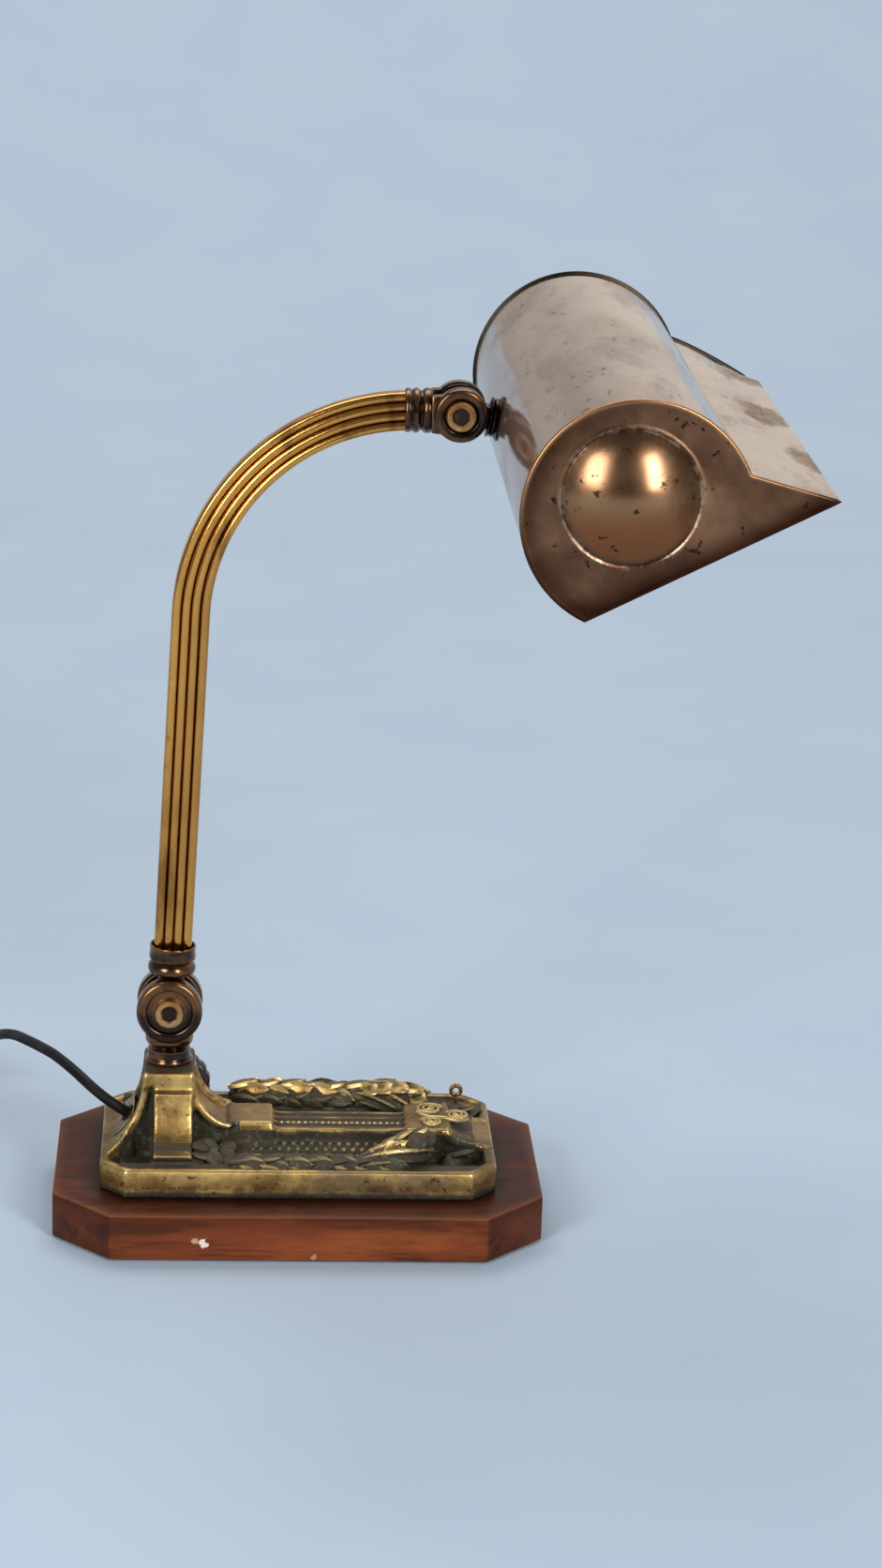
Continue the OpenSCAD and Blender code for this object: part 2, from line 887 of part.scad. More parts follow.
module pivot_bolt(r) {
    out = slot_w / 2 + cheek_t - dish_t;
    rotate([90, 0, 0]) {
        translate([0, 0, -out])
            cylinder(h = 2 * out + round_nut_t - 1, r = bolt_r);
        translate([0, 0, -out - bolt_head_t])
            cylinder(h = bolt_head_t, r = nut_r);
    }
}

module pivot_nut() {
    rotate([90, 0, 0])
        translate([0, 0, slot_w / 2 + cheek_t - dish_t])
            ring(nut_r, bolt_r + run_gap, round_nut_t);
}

module friction_washers(r) {
    both_sides_y()
        translate([0, -tongue_t / 2 - face_gap, 0])
            rotate([90, 0, 0])
                ring(r - washer_in, bolt_r + run_gap, washer_t);
}

// Reeded arm: half-round reeds side by side on both faces, round a flat hollow
function reed_row(side) = [
    for (i = [0 : reeds - 1], k = [0 : reed_steps - 1])
        let (a = 180 * k / reed_steps)
            [
                side * (((reeds - 1) / 2 - i) * reed_w + reed_w / 2 * cos(a)),
                side * (reed_mid + reed_w / 2 * sin(a))
            ]
];
function backwards(p) = [for (i = [len(p) - 1 : -1 : 0]) p[i]];
arm_outline = backwards(concat(
    reed_row(1), [[-arm_w / 2, reed_mid]],
    reed_row(-1), [[arm_w / 2, -reed_mid]]
));
arm_hollow = [for (q = arm_outline) [q[0] * core_w / arm_w, sign(q[1]) * core_t / 2]];

// Places along the arm's middle: across, up, and the turn so far
function arm_stations(from) = concat(
    [[0, from, 0]],
    [
        for (k = [0 : bend_steps])
            let (a = bend * k / bend_steps)
                [arm_bend_r * (1 - cos(a)), arm_rise + arm_bend_r * sin(a), a]
    ]
);
function arm_ring(q, outline) = [
    for (w = outline) [q[0] + w[0] * cos(q[2]), w[1], q[1] - w[0] * sin(q[2])]
];
function flipped(faces, first) = [for (f = faces) [f[0] + first, f[2] + first, f[1] + first]];
function rim_faces(outer, inner, sides, turn) = [
    for (k = [0 : sides - 1])
        let (a = outer + k, b = outer + (k + 1) % sides, c = inner + k, d = inner + (k + 1) % sides)
            each (turn ? [[b, a, c], [b, c, d]] : [[a, b, d], [a, d, c]])
];

module arm_socket() {
    square([arm_w + 2 * socket_gap, arm_t + 2 * socket_gap], center = true);
}

module lower_fork() {
    neck_top = -lower_r + tongue_step - turn_gap;
    color(bronze_tone)
        at_lower()
            difference() {
                union() {
                    fork(lower_r, lower_collar_r);
                    rotate_extrude()
                        polygon([
                            [0, -lower_h], [lower_collar_r - 0.2, -lower_h],
                            [lower_collar_r - 0.2, -lower_h + 1.6], [lower_collar_r - 1, -lower_h + 2.4],
                            [lower_collar_r - 1, -lower_h + 6], [lower_collar_r - 1.8, -lower_h + 6.6],
                            [lower_collar_r - 0.6, -lower_h + 7.6], [lower_collar_r, neck_top - 1],
                            [lower_collar_r, neck_top], [0, neck_top]
                        ]);
                    translate([0, 0, -lower_h - ped_h + cavity_top - neck_washer_t - neck_nut_t - spigot_out])
                        cylinder(h = ped_h - cavity_top + neck_washer_t + neck_nut_t + 1, r = spigot_r);
                }
                translate([0, 0, -lower_h - ped_h])
                    cylinder(h = lower_h + ped_h - nut_r - bolt_r, r = wire_bore_r);
            }
}

module under_cap(down) {
    on_plinth()
        translate([ped_x, 0, cavity_top - down])
            children();
}

module neck_washer() {
    color("#8a8a86")
        under_cap(neck_washer_t)
            ring(neck_washer_r, spigot_r + run_gap, neck_washer_t);
}

module neck_nut() {
    color(brass_tone)
        under_cap(neck_washer_t + neck_nut_t)
            difference() {
                cylinder(h = neck_nut_t, r = neck_nut_r, $fn = 6);
                translate([0, 0, -1])
                    cylinder(h = neck_nut_t + 2, r = spigot_r + run_gap);
            }
}

module lower_pivot_bolt() {
    color(bronze_tone)
        at_lower()
            pivot_bolt(lower_r);
}

module lower_pivot_nut() {
    color(brass_tone)
        at_lower()
            pivot_nut();
}

module lower_friction_washers() {
    color("#5d3a26")
        at_lower()
            friction_washers(lower_r);
}

module lower_tongue() {
    z0 = lower_r + turn_gap;
    z1 = z0 + lower_collar_l;
    color(bronze_tone)
        in_arm()
            difference() {
                union() {
                    tongue(lower_r);
                    rotate_extrude()
                        polygon([
                            [0, z0], [lower_collar_r - 1.2, z0], [lower_collar_r, z0 + 1.4],
                            [lower_collar_r, z0 + 3.4], [lower_collar_r - 1.1, z0 + 4.6],
                            [lower_collar_r - 1.1, z0 + 5.4], [lower_collar_r - 0.2, z0 + 6.6],
                            [lower_collar_r - 0.5, z1 - 1.4], [lower_collar_r - 0.2, z1], [0, z1]
                        ]);
                }
                translate([0, 0, z1 - socket_l])
                    linear_extrude(socket_l + 1)
                        arm_socket();
                translate([0, 0, lower_r - groove_in])
                    cylinder(h = lower_collar_l + groove_in, r = stem_bore_r);
            }
}

module arm_tube() {
    stations = arm_stations(arm_start);
    sides = len(arm_outline);
    rings = len(stations);
    inside = rings * sides;
    last = (rings - 1) * sides;
    skin = wrap_faces(rings, sides);
    color(brass_tone)
        in_arm()
            polyhedron(
                concat(
                    [for (q = stations) each arm_ring(q, arm_outline)],
                    [for (q = stations) each arm_ring(q, arm_hollow)]
                ),
                concat(
                    skin,
                    flipped(skin, inside),
                    rim_faces(0, inside, sides, true),
                    rim_faces(last, inside + last, sides, false)
                ),
                convexity = 10
            );
}

module arm_flex() {
    color(black_tone)
        in_arm()
            tube(
                [for (q = arm_stations(arm_start + 1)) [q[0], 0, q[1]]],
                0.45 * core_t, 8, [0, 1, 0]
            );
}

module upper_fork() {
    neck_top = -upper_r + tongue_step - turn_gap;
    c = upper_collar_r;
    m = upper_mouth;
    color(bronze_tone)
        at_upper()
            difference() {
                union() {
                    fork(upper_r, c);
                    rotate_extrude()
                        polygon([
                            [0, -m], [c - 0.5, -m], [c, -m + 1],
                            [c, -m + 2.6], [c - 0.9, -m + 3.4], [c - 0.9, -m + 4.4],
                            [c, -m + 5.2], [c, -m + 7.4], [c - 0.8, neck_top],
                            [0, neck_top]
                        ]);
                }
                translate([0, 0, -m - 1])
                    linear_extrude(mouth_in + 1)
                        arm_socket();
                translate([0, 0, -m])
                    cylinder(h = m - nut_r, r = stem_bore_r);
            }
}

module upper_pivot_bolt() {
    color(bronze_tone)
        at_upper()
            pivot_bolt(upper_r);
}

module upper_pivot_nut() {
    color(brass_tone)
        at_upper()
            pivot_nut();
}

module upper_friction_washers() {
    color("#5d3a26")
        at_upper()
            friction_washers(upper_r);
}

// Shade
stem_z = upper_r + turn_gap;
rosette_z = stem_z + stem_ring_t;
stem_end = shade_off + shade_t + foot_t + stem_nut_t + 1.5;

module shade_stem() {
    color(bronze_tone)
        at_stem()
            difference() {
                union() {
                    tongue(upper_r);
                    rotate_extrude()
                        polygon([
                            [0, stem_z], [stem_ring_r - 0.7, stem_z], [stem_ring_r, stem_z + 0.5],
                            [stem_ring_r, stem_z + 1.1], [stem_ring_r - 0.7, rosette_z], [0, rosette_z]
                        ]);
                    translate([0, 0, stem_z])
                        cylinder(h = stem_end - stem_z, r = stem_r);
                }
                translate([0, 0, upper_r - groove_in])
                    cylinder(h = stem_end, r = stem_bore_r);
            }
}

// Tube that the rosette and the bracket's foot are shaped to
module tube_round(r) {
    translate(shade_at)
        rotate([90, 0, 0])
            cylinder(h = shade_l, r = r, center = true, $fn = 128);
}

module stem_rosette() {
    color(bronze_tone)
        difference() {
            at_stem()
                difference() {
                    translate([0, 0, rosette_z])
                        cylinder(h = shade_off - rosette_z + 1, r1 = rosette_neck_r, r2 = rosette_r);
                    cylinder(h = 2 * shade_off, r = stem_r + run_gap);
                }
            tube_round(shade_r + saddle_gap);
        }
}

module stem_nut() {
    color(brass_tone)
        at_stem()
            translate([0, 0, shade_off + shade_t + foot_t])
                difference() {
                    cylinder(h = stem_nut_t, r = stem_nut_r, $fn = 6);
                    translate([0, 0, -1])
                        cylinder(h = stem_nut_t + 2, r = stem_r + run_gap);
                }
}

// Section of the shade: a round tube down to the crease, then the straight visor
module shade_section(r, crease, tip) {
    low = tip[1];
    difference() {
        circle(r, $fn = 128);
        translate([-2 * r, low - 2 * r])
            square([4 * r, 2 * r]);
        polygon([crease, [0, low], [2 * r, low], [2 * r, crease[1]]]);
    }
    polygon([[0, 0], [0, low], tip, crease]);
}

module shade_outline() {
    shade_section(shade_r, crease_at, tip_at);
}

module shell_outline() {
    difference() {
        shade_outline();
        shade_section(shade_r - shade_t, inner_crease, inner_tip);
    }
}

module shade_shell() {
    color(plate_tone)
        difference() {
            in_shade()
                along_y(shell_l)
                    shell_outline();
            at_stem()
                cylinder(h = 2 * shade_off, r = stem_r + run_gap);
        }
}

// End cap: a flat plate of the shade's outline with a raised dome
module end_cap() {
    rotate([90, 0, 0]) {
        difference() {
            linear_extrude(cap_t)
                shade_outline();
            translate([0, dome_up, -1])
                cylinder(h = cap_t + 2, r = dome_r - cap_t);
        }
        translate([0, dome_up, cap_t])
            rotate_extrude() {
                difference() {
                    translate([0, dome_h - dome_ball])
                        circle(dome_ball, $fn = 128);
                    translate([0, dome_h - dome_ball])
                        circle(dome_ball - cap_t, $fn = 128);
                    translate([-2 * dome_ball, -4 * dome_ball - cap_t / 2])
                        square([4 * dome_ball, 4 * dome_ball]);
                    translate([-4 * dome_ball, -2 * dome_ball])
                        square([4 * dome_ball, 4 * dome_ball]);
                }
                translate([dome_r + dome_bead, 0])
                    circle(dome_bead, $fn = 24);
            }
    }
}

module near_end_cap() {
    color(cap_tone)
        in_shade()
            translate([0, -shell_l / 2, 0])
                end_cap();
}

module far_end_cap() {
    color(cap_tone)
        in_shade()
            mirror([0, 1, 0])
                translate([0, -shell_l / 2, 0])
                    end_cap();
}

// Lampholder: it hangs on the stem inside the shade, and its mouth faces the near end
module holder_bracket() {
    foot_r = shade_r - shade_t - foot_t;
    color(brass_tone)
        difference() {
            union() {
                intersection() {
                    to_stem()
                        translate([-bracket_w / 2, -bracket_w / 2, foot_r])
                            cube([bracket_w, bracket_w / 2 + bracket_y + bracket_t, 2 * foot_t]);
                    tube_round(shade_r - shade_t - saddle_gap);
                }
                to_stem()
                    translate([-bracket_w / 2, bracket_y, -bracket_drop])
                        cube([bracket_w, bracket_t, foot_r + bracket_drop + 0.5]);
            }
            at_stem()
                cylinder(h = 2 * shade_off + shade_r, r = stem_r + run_gap);
            translate(shade_at)
                rotate([90, 0, 0])
                    cylinder(h = shade_l, r = nipple_r + run_gap, center = true);
        }
}

// Along the lampholder's axis, from the bracket's upright towards the bulb
module on_holder(s) {
    translate(shade_at + [0, bracket_y - s, 0])
        rotate([90, 0, 0])
            children();
}

module holder_nut() {
    color(brass_tone)
        on_holder(-bracket_t - holder_nut_t)
            difference() {
                cylinder(h = holder_nut_t, r = holder_nut_r, $fn = 6);
                translate([0, 0, -1])
                    cylinder(h = holder_nut_t + 2, r = nipple_r + run_gap);
            }
}

module lampholder_cap() {
    color(black_tone)
        on_holder(0)
            difference() {
                union() {
                    cylinder(h = holder_cap_l, r1 = holder_r - 3, r2 = holder_r);
                    translate([0, 0, -bracket_t - holder_nut_t - 1])
                        cylinder(h = bracket_t + holder_nut_t + 2, r = nipple_r);
                }
                translate([0, 0, -bracket_t - holder_nut_t - 2])
                    cylinder(h = holder_cap_l, r = nipple_r - 1.5);
                translate([0, 0, holder_cap_l / 2])
                    cylinder(h = holder_cap_l, r = holder_r - holder_wall);
            }
}

module lampholder_shell() {
    color(black_tone)
        on_holder(holder_cap_l)
            ring(holder_r, holder_r - holder_wall, holder_l);
}

thread_r = bulb_cap_r + cap_gap + screw_shell_t;
core_s = holder_cap_l + core_back;
thread_s = core_s + core_l - bulb_cap_l;
glass_s = core_s + core_l + bulb_seat;

module lampholder_core() {
    color("#e8e2d4")
        on_holder(core_s)
            difference() {
                cylinder(h = core_l, r = holder_r - holder_wall - run_gap);
                translate([0, 0, core_l - bulb_cap_l - 0.5])
                    cylinder(h = core_l, r = thread_r + run_gap);
            }
}

module lampholder_thread() {
    color(brass_tone)
        on_holder(thread_s)
            ring(thread_r, bulb_cap_r + cap_gap, bulb_cap_l - 1);
}

module bulb_base() {
    color("#b9b4a8")
        on_holder(glass_s - bulb_cap_l - bulb_seat)
            rotate_extrude()
                polygon([
                    [0, -0.4], [2.2, -0.4], [2.4, 0.2], [bulb_cap_r - 1, 1.8], [bulb_cap_r, 2.6],
                    [bulb_cap_r, bulb_cap_l], [bulb_cap_r + 0.6, bulb_cap_l + 1.6],
                    [bulb_cap_r + 0.6, bulb_cap_l + bulb_seat], [bulb_neck_r - 2, bulb_cap_l + bulb_seat],
                    [bulb_neck_r - 2, bulb_cap_l - 4], [0, bulb_cap_l - 4]
                ]);
}

module bulb_round(r, neck, l) {
    intersection() {
        union() {
            polygon([[0, 0], [neck, 0], [neck, 2], [r, bulb_shoulder], [r, l - r], [0, l - r]]);
            translate([0, l - r])
                circle(r);
        }
        square([r, l]);
    }
}

module bulb_glass() {
    color([0.95, 0.93, 0.85, 0.4])
        on_holder(glass_s)
            rotate_extrude()
                difference() {
                    bulb_round(bulb_r, bulb_neck_r, bulb_l);
                    translate([0, -0.01])
                        bulb_round(bulb_r - glass_t, bulb_neck_r - glass_t, bulb_l - glass_t);
                }
}

module filament_mount() {
    press_r = bulb_neck_r - glass_t - 1.6;
    press_l = 0.3 * bulb_l;
    wire_r = 0.6;
    wire_foot = 0.09 * bulb_l;
    wire_l = 0.47 * bulb_l;
    bar_up = 0.535 * bulb_l;
    bar_l = 0.28 * bulb_l;
    color("#c9c4b6")
        on_holder(glass_s - 6) {
            cylinder(h = press_l, r1 = press_r, r2 = press_r / 2);
            for (side = [-1, 1])
                rotate([0, 14 * side, 0])
                    translate([0, 0, wire_foot])
                        cylinder(h = wire_l, r = wire_r);
            translate([0, 0, bar_up])
                rotate([0, 90, 0])
                    cylinder(h = bar_l, r = wire_r, center = true);
        }
}

// Wiring from the stem to the lampholder's rear cap
function in_stem(s, y) = shade_at + s * [-cos(stem_drop), 0, sin(stem_drop)] + [0, y, 0];

module shade_flex() {
    stem_s = tube_far - stem_end;
    color(black_tone)
        tube(smooth([
            in_stem(stem_s + 6, 0), in_stem(stem_s, 0), in_stem(stem_s - 4, 2),
            in_stem(holder_r + 6, 12), in_stem(holder_r + 5, bracket_y - holder_cap_l - 4),
            in_stem(holder_r + 2, bracket_y - holder_cap_l / 2 - 2),
            in_stem(holder_r - holder_wall, bracket_y - holder_cap_l / 2 - 1)
        ], 3), flex_r, 8, [0, 0, 1]);
}

// Cord and plug
function coil_radius(u) =
    let (k = floor(u / layer_turns), f = u / layer_turns - k)
        coil_r_in + coil_pitch * layer_turns * (k % 2 == 0 ? 1 - f : f);
function climb(f) = let (g = min(max(f, 0), 1)) g * g * (3 - 2 * g);
function coil_layer(u) =
    climb((u - layer_turns + 0.25) / 0.5) + climb((u - 2 * layer_turns + 0.25) / 0.5)
    + climb((u - 3 * layer_turns + 0.25) / 0.5);
function coil_point(u) = [
    coil_at[0] + coil_radius(u) * cos(90 + 360 * u),
    coil_at[1] + coil_radius(u) * sin(90 + 360 * u),
    coil_z0 + coil_pitch * coil_layer(u)
];
coil_rings = coil_turns * coil_steps;
coil_in = coil_point(0) + [cord_d, 0, 0];
coil_out = coil_point(coil_turns) - [0, cord_d, 0];
coil_path = concat([coil_in], [for (i = [0 : coil_rings]) coil_point(i / coil_steps)], [coil_out]);
coil_least = min([
    for (i = [1 : coil_rings], j = [i + coil_steps / 2 : coil_rings])
        norm(coil_path[i] - coil_path[j])
]) - cord_d;

module cord_lead() {
    color(black_tone)
        tube(smooth(concat(
            [from_hole(bush_flange_t - bush_sink), from_hole(cord_out)],
            cord_route,
            [coil_in + [6, 0, 0], coil_in]
        ), 2), cord_r, 8);
}

module cord_coil() {
    echo(coil_least_gap_mm = coil_least);
    color(black_tone)
        tube(coil_path, cord_r, 6);
}

module cord_tie() {
    room = cord_r + tie_gap;
    low = coil_z0 - room + tie_gap - 0.2;
    tall = 2 * cord_r + 0.4 + (coil_layers - 1) * coil_pitch;
    color(black_tone)
        translate([coil_at[0], coil_at[1], low])
            rotate([0, 0, tie_ang])
                translate([coil_r_in - room, 0, 0])
                    difference() {
                        translate([-tie_t, -tie_w / 2, -tie_t])
                            cube([coil_r_out - coil_r_in + 2 * room + 2 * tie_t, tie_w, tall + 2 * tie_t]);
                        translate([0, -tie_w, 0])
                            cube([coil_r_out - coil_r_in + 2 * room, 2 * tie_w, tall]);
                    }
}

plug_at = [coil_out[0], coil_out[1] - tail_l, plug_z];

module cord_tail() {
    color(black_tone)
        tube(smooth([
            coil_out, coil_out - [0, 8, 0.2],
            (coil_out + plug_at) / 2, plug_at + [0, 8, 0.1], plug_at
        ], 3), cord_r, 8);
}

module at_plug() {
    translate(plug_at)
        rotate([90, 0, 0])
            children();
}

module plug_body() {
    neck = sleeve_l;
    color(black_tone)
        at_plug()
            difference() {
                rotate_extrude()
                    polygon([
                        [0, 0], [sleeve_r - 0.8, 0], [sleeve_r, 1], [sleeve_r + 1, neck - 2],
                        [plug_r - 4, neck + 4], [plug_r - 1, neck + 9], [plug_r, neck + 12],
                        [plug_r, neck + plug_l - 2], [plug_r - 2, neck + plug_l], [0, neck + plug_l]
                    ]);
                pin_places(neck + plug_l - 10)
                    cylinder(h = 11, d = pin_d + 2 * run_gap);
            }
}

module pin_places(s) {
    for (side = [-1, 1])
        translate([side * pin_gap / 2, 0, s])
            children();
}

module plug_pins() {
    color("#c9b36a")
        at_plug()
            pin_places(sleeve_l + plug_l - 10) {
                cylinder(h = 10 + pin_l - pin_d / 2, d = pin_d);
                translate([0, 0, 10 + pin_l - pin_d / 2])
                    sphere(d = pin_d);
            }
}

felt_pad();
plinth();
base_casting();
front_garland();
rear_garland();
screw_eye();
base_screws();
cord_bush();
base_flex();
switch_body();
switch_nut();
switch_knob();
lower_fork();
neck_washer();
neck_nut();
lower_pivot_bolt();
lower_pivot_nut();
lower_friction_washers();
lower_tongue();
arm_tube();
arm_flex();
upper_fork();
upper_pivot_bolt();
upper_pivot_nut();
upper_friction_washers();
shade_stem();
stem_rosette();
stem_nut();
shade_shell();
near_end_cap();
far_end_cap();
holder_bracket();
holder_nut();
lampholder_cap();
lampholder_shell();
lampholder_core();
lampholder_thread();
bulb_base();
bulb_glass();
filament_mount();
shade_flex();
cord_lead();
cord_coil();
cord_tie();
cord_tail();
plug_body();
plug_pins();
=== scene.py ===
import json
import math
from functools import cached_property

import bmesh
import bpy
from mathutils import Matrix, Vector, noise
from mathutils.bvhtree import BVHTree


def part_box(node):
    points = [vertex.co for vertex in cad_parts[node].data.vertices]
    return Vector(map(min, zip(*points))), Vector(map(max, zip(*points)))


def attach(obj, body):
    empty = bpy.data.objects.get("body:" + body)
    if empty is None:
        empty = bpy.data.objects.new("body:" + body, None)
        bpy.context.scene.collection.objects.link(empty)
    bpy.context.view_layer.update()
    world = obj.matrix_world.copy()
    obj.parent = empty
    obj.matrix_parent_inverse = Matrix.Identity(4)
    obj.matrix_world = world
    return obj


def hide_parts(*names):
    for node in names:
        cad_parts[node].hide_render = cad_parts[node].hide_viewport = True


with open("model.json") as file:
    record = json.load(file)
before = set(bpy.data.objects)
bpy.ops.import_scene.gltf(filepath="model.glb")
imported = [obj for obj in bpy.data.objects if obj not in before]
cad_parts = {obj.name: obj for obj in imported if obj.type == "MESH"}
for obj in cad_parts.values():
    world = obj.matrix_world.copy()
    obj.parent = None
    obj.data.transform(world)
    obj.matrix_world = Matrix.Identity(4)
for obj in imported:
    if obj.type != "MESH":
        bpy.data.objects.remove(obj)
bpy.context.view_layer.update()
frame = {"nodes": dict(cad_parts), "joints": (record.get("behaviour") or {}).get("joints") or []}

bl_info = {
    "name": "Reeded-arm desk lamp",
    "version": (1, 0, 0),
    "blender": (4, 5, 0),
    "location": "3D View > Sidebar > Lamp",
    "description": "Dresses the jointed desk lamp: carving, reeds, worn metals, wood, cord, studio",
    "category": "Add Mesh",
}

MM = 0.001
TINY = 1e-6
UP = Vector((0, 0, 1))
BASE, ARM, SHADE, SWITCH = "base", "arm", "shade", "switch"


def linear(code):
    """An sRGB hex colour as linear red, green, blue and alpha."""
    parts = [int(code[i : i + 2], 16) / 255 for i in (1, 3, 5)]
    curve = (c / 12.92 if c <= 0.04045 else ((c + 0.055) / 1.055) ** 2.4 for c in parts)
    return (*curve, 1.0)


def node_corners(name):
    """Lowest and highest corner of a CAD node, in millimetres."""
    low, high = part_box(name)
    return Vector(low) / MM, Vector(high) / MM


def joint_place(name):
    """A joint's place in millimetres."""
    place = next(j["pos_m"] for j in frame["joints"] if j["name"] == name)
    return Vector(place) / MM


# Shared places, in millimetres
LOWER = joint_place("arm_tilt")
UPPER = joint_place("shade_tilt")
PLINTH_LOW, PLINTH_HIGH = node_corners("plinth")
CAST_LOW, CAST_HIGH = node_corners("base_casting")
PLINTH_TOP = PLINTH_HIGH.z
ARM_LEAN = math.radians(2.3)
STEM_DROP = math.radians(10)
STEM_WAY = Vector((math.cos(STEM_DROP), 0, -math.sin(STEM_DROP)))
SHADE_TILT = math.radians(26.9)
TUBE_R = 41.0
TUBE_FAR = 14.7 + TUBE_R
SHADE_AT = UPPER + TUBE_FAR * STEM_WAY
SHADE_HALF = node_corners("shade_shell")[1].y

# The pedestal: half its top, the reach of its left and right flanks, and their falls
PED_X, PED_TOP, PED_HALF = LOWER.x, CAST_HIGH.z, 10
LEFT_RUN, LEFT_FALL = PED_X - PED_HALF - CAST_LOW.x, PED_TOP - PLINTH_TOP - 11.5
RIGHT_RUN, RIGHT_FALL = 16, PED_TOP - PLINTH_TOP - 19
PED_END = PED_X + PED_HALF + RIGHT_RUN


def length(name, about, default):
    """A size that a user may change, in metres."""
    return bpy.props.FloatProperty(name=name, description=about, default=default, unit="LENGTH")


def colour(name, about, code):
    """A colour that a user may change."""
    return bpy.props.FloatVectorProperty(
        name=name, description=about, default=linear(code), subtype="COLOR", size=4
    )


class LampSizes(bpy.types.PropertyGroup):
    """Sizes of the dressed lamp that its maker may change."""

    plinth_edge: length("Plinth edge", "Rounding of the plinth's edges", 0.0007)
    cast_grain: length("Casting detail", "Finest step of the cast tray's surface", 0.00085)
    leaf_length: length("Leaf length", "Length of one garland leaf", 0.013)
    leaf_width: length("Leaf width", "Width of one garland leaf", 0.0078)
    sheet: length("Shade sheet", "Thickness of the shade's sheet", 0.0009)
    visor_dent: length("Visor dent", "Drop of the bent far corner of the visor", 0.007)
    cord: length("Cord diameter", "Diameter of the mains cord", 0.0043)


class LampFinishes(bpy.types.PropertyGroup):
    """Main colours of the lamp."""

    wood: colour("Mahogany", "Mid tone of the plinth's wood", "#6c2f18")
    cast: colour("Cast brass", "Rubbed tone of the tray", "#f0c677")
    reed: colour("Reed brass", "Polished tone of the arm", "#e2a656")
    bronze: colour("Bronze", "Dark tone of the joints", "#2a1b14")
    plating: colour("Plating", "Tone of the shade's worn plating", "#efe4db")
    cap: colour("End cap", "Tone of the end caps' bronze", "#84624a")
    stage: colour("Studio paper", "Tone of the floor and backdrop", "#b3c3d3")


def sizes():
    """The sizes now set, in metres."""
    return bpy.context.scene.lamp_sizes


def tone(name):
    """One of the colours now set."""
    return tuple(getattr(bpy.context.scene.lamp_finishes, name))


# Mesh making, in millimetres until a piece is finished


def finish_piece(name, bm, finish, body, node=None, sharp=38):
    """Turns a mesh in millimetres into a piece that rides on a body and may stand for a node."""
    bmesh.ops.recalc_face_normals(bm, faces=bm.faces)
    bm.transform(Matrix.Scale(MM, 4))
    mesh = bpy.data.meshes.new(name)
    bm.to_mesh(mesh)
    bm.free()
    mesh.shade_smooth()
    mesh.set_sharp_from_angle(angle=math.radians(sharp))
    piece = bpy.data.objects.new(name, mesh)
    bpy.context.scene.collection.objects.link(piece)
    mesh.materials.append(bpy.data.materials[finish])
    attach(piece, body)
    if node:
        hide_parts(node)
    return piece


def patch(bm, corners):
    """A face, unless corners that fall together leave too few for one."""
    corners = list(dict.fromkeys(corners))
    return [bm.faces.new(corners)] if len(corners) > 2 else []


def skin(bm, rows, loop=False, ends=False):
    """Faces between rings of points. A loop joins last to first; ends closes both ends flat."""
    made = [bm.faces.new(rows[0][::-1]), bm.faces.new(rows[-1])] if ends else []
    for low, high in zip(rows, rows[1:] + rows[:1] if loop else rows[1:]):
        count = max(len(low), len(high))
        for k in range(count):
            j = (k + 1) % count
            made += patch(
                bm, (low[k % len(low)], low[j % len(low)], high[j % len(high)], high[k % len(high)])
            )
    return made


def strip(bm, rows):
    """Faces between rows of points that do not run round."""
    for low, high in zip(rows, rows[1:]):
        for k in range(len(low) - 1):
            bm.faces.new((low[k], low[k + 1], high[k + 1], high[k]))


def prism(bm, outline, axis, low, high, bevel=0.0, rounds=2):
    """A solid of one outline, drawn out along an axis, with its sharp edges rounded."""
    order = {"X": (2, 0, 1), "Y": (0, 2, 1), "Z": (0, 1, 2)}[axis]
    rows = [[bm.verts.new([(u, v, w)[i] for i in order]) for u, v in outline] for w in (low, high)]
    made = skin(bm, rows, ends=True)
    bmesh.ops.recalc_face_normals(bm, faces=made)
    if bevel:
        sharp = 0.4
        edges = dict.fromkeys(e for f in made for e in f.edges if e.calc_face_angle(0) > sharp)
        bmesh.ops.bevel(
            bm, geom=list(edges), offset=bevel, segments=rounds, profile=0.5, affect="EDGES",
            clamp_overlap=True,
        )


def block(low, high):
    """Outline of a rectangle."""
    return [(low[0], low[1]), (high[0], low[1]), (high[0], high[1]), (low[0], high[1])]


def around(steps):
    """The angles of a full turn."""
    return [2 * math.pi * k / steps for k in range(steps)]


def lathe(bm, profile, at, axis=UP, steps=56, closed=False):
    """A turned solid: radius and height pairs round an axis. A closed profile makes a ring."""
    turn = UP.rotation_difference(Vector(axis)).to_matrix()
    rows = []
    for radius, height in profile:
        angles = around(steps) if radius > TINY else [0.0]
        row = [Vector((radius * math.cos(a), radius * math.sin(a), height)) for a in angles]
        rows.append([bm.verts.new(Vector(at) + turn @ p) for p in row])
    skin(bm, rows, closed)


def octagon(width, depth, cut):
    """Outline of a rectangle with cut corners."""
    x, y = width / 2, depth / 2
    return [
        (x - cut, -y), (x, cut - y), (x, y - cut), (x - cut, y),
        (cut - x, y), (-x, y - cut), (-x, cut - y), (cut - x, -y),
    ]


def quarter(mid, a, b, start, end, steps=12):
    """Points on part of an ellipse, between two angles in degrees."""
    angles = [math.radians(start + (end - start) * i / steps) for i in range(steps + 1)]
    return [(mid[0] + a * math.cos(t), mid[1] + b * math.sin(t)) for t in angles]


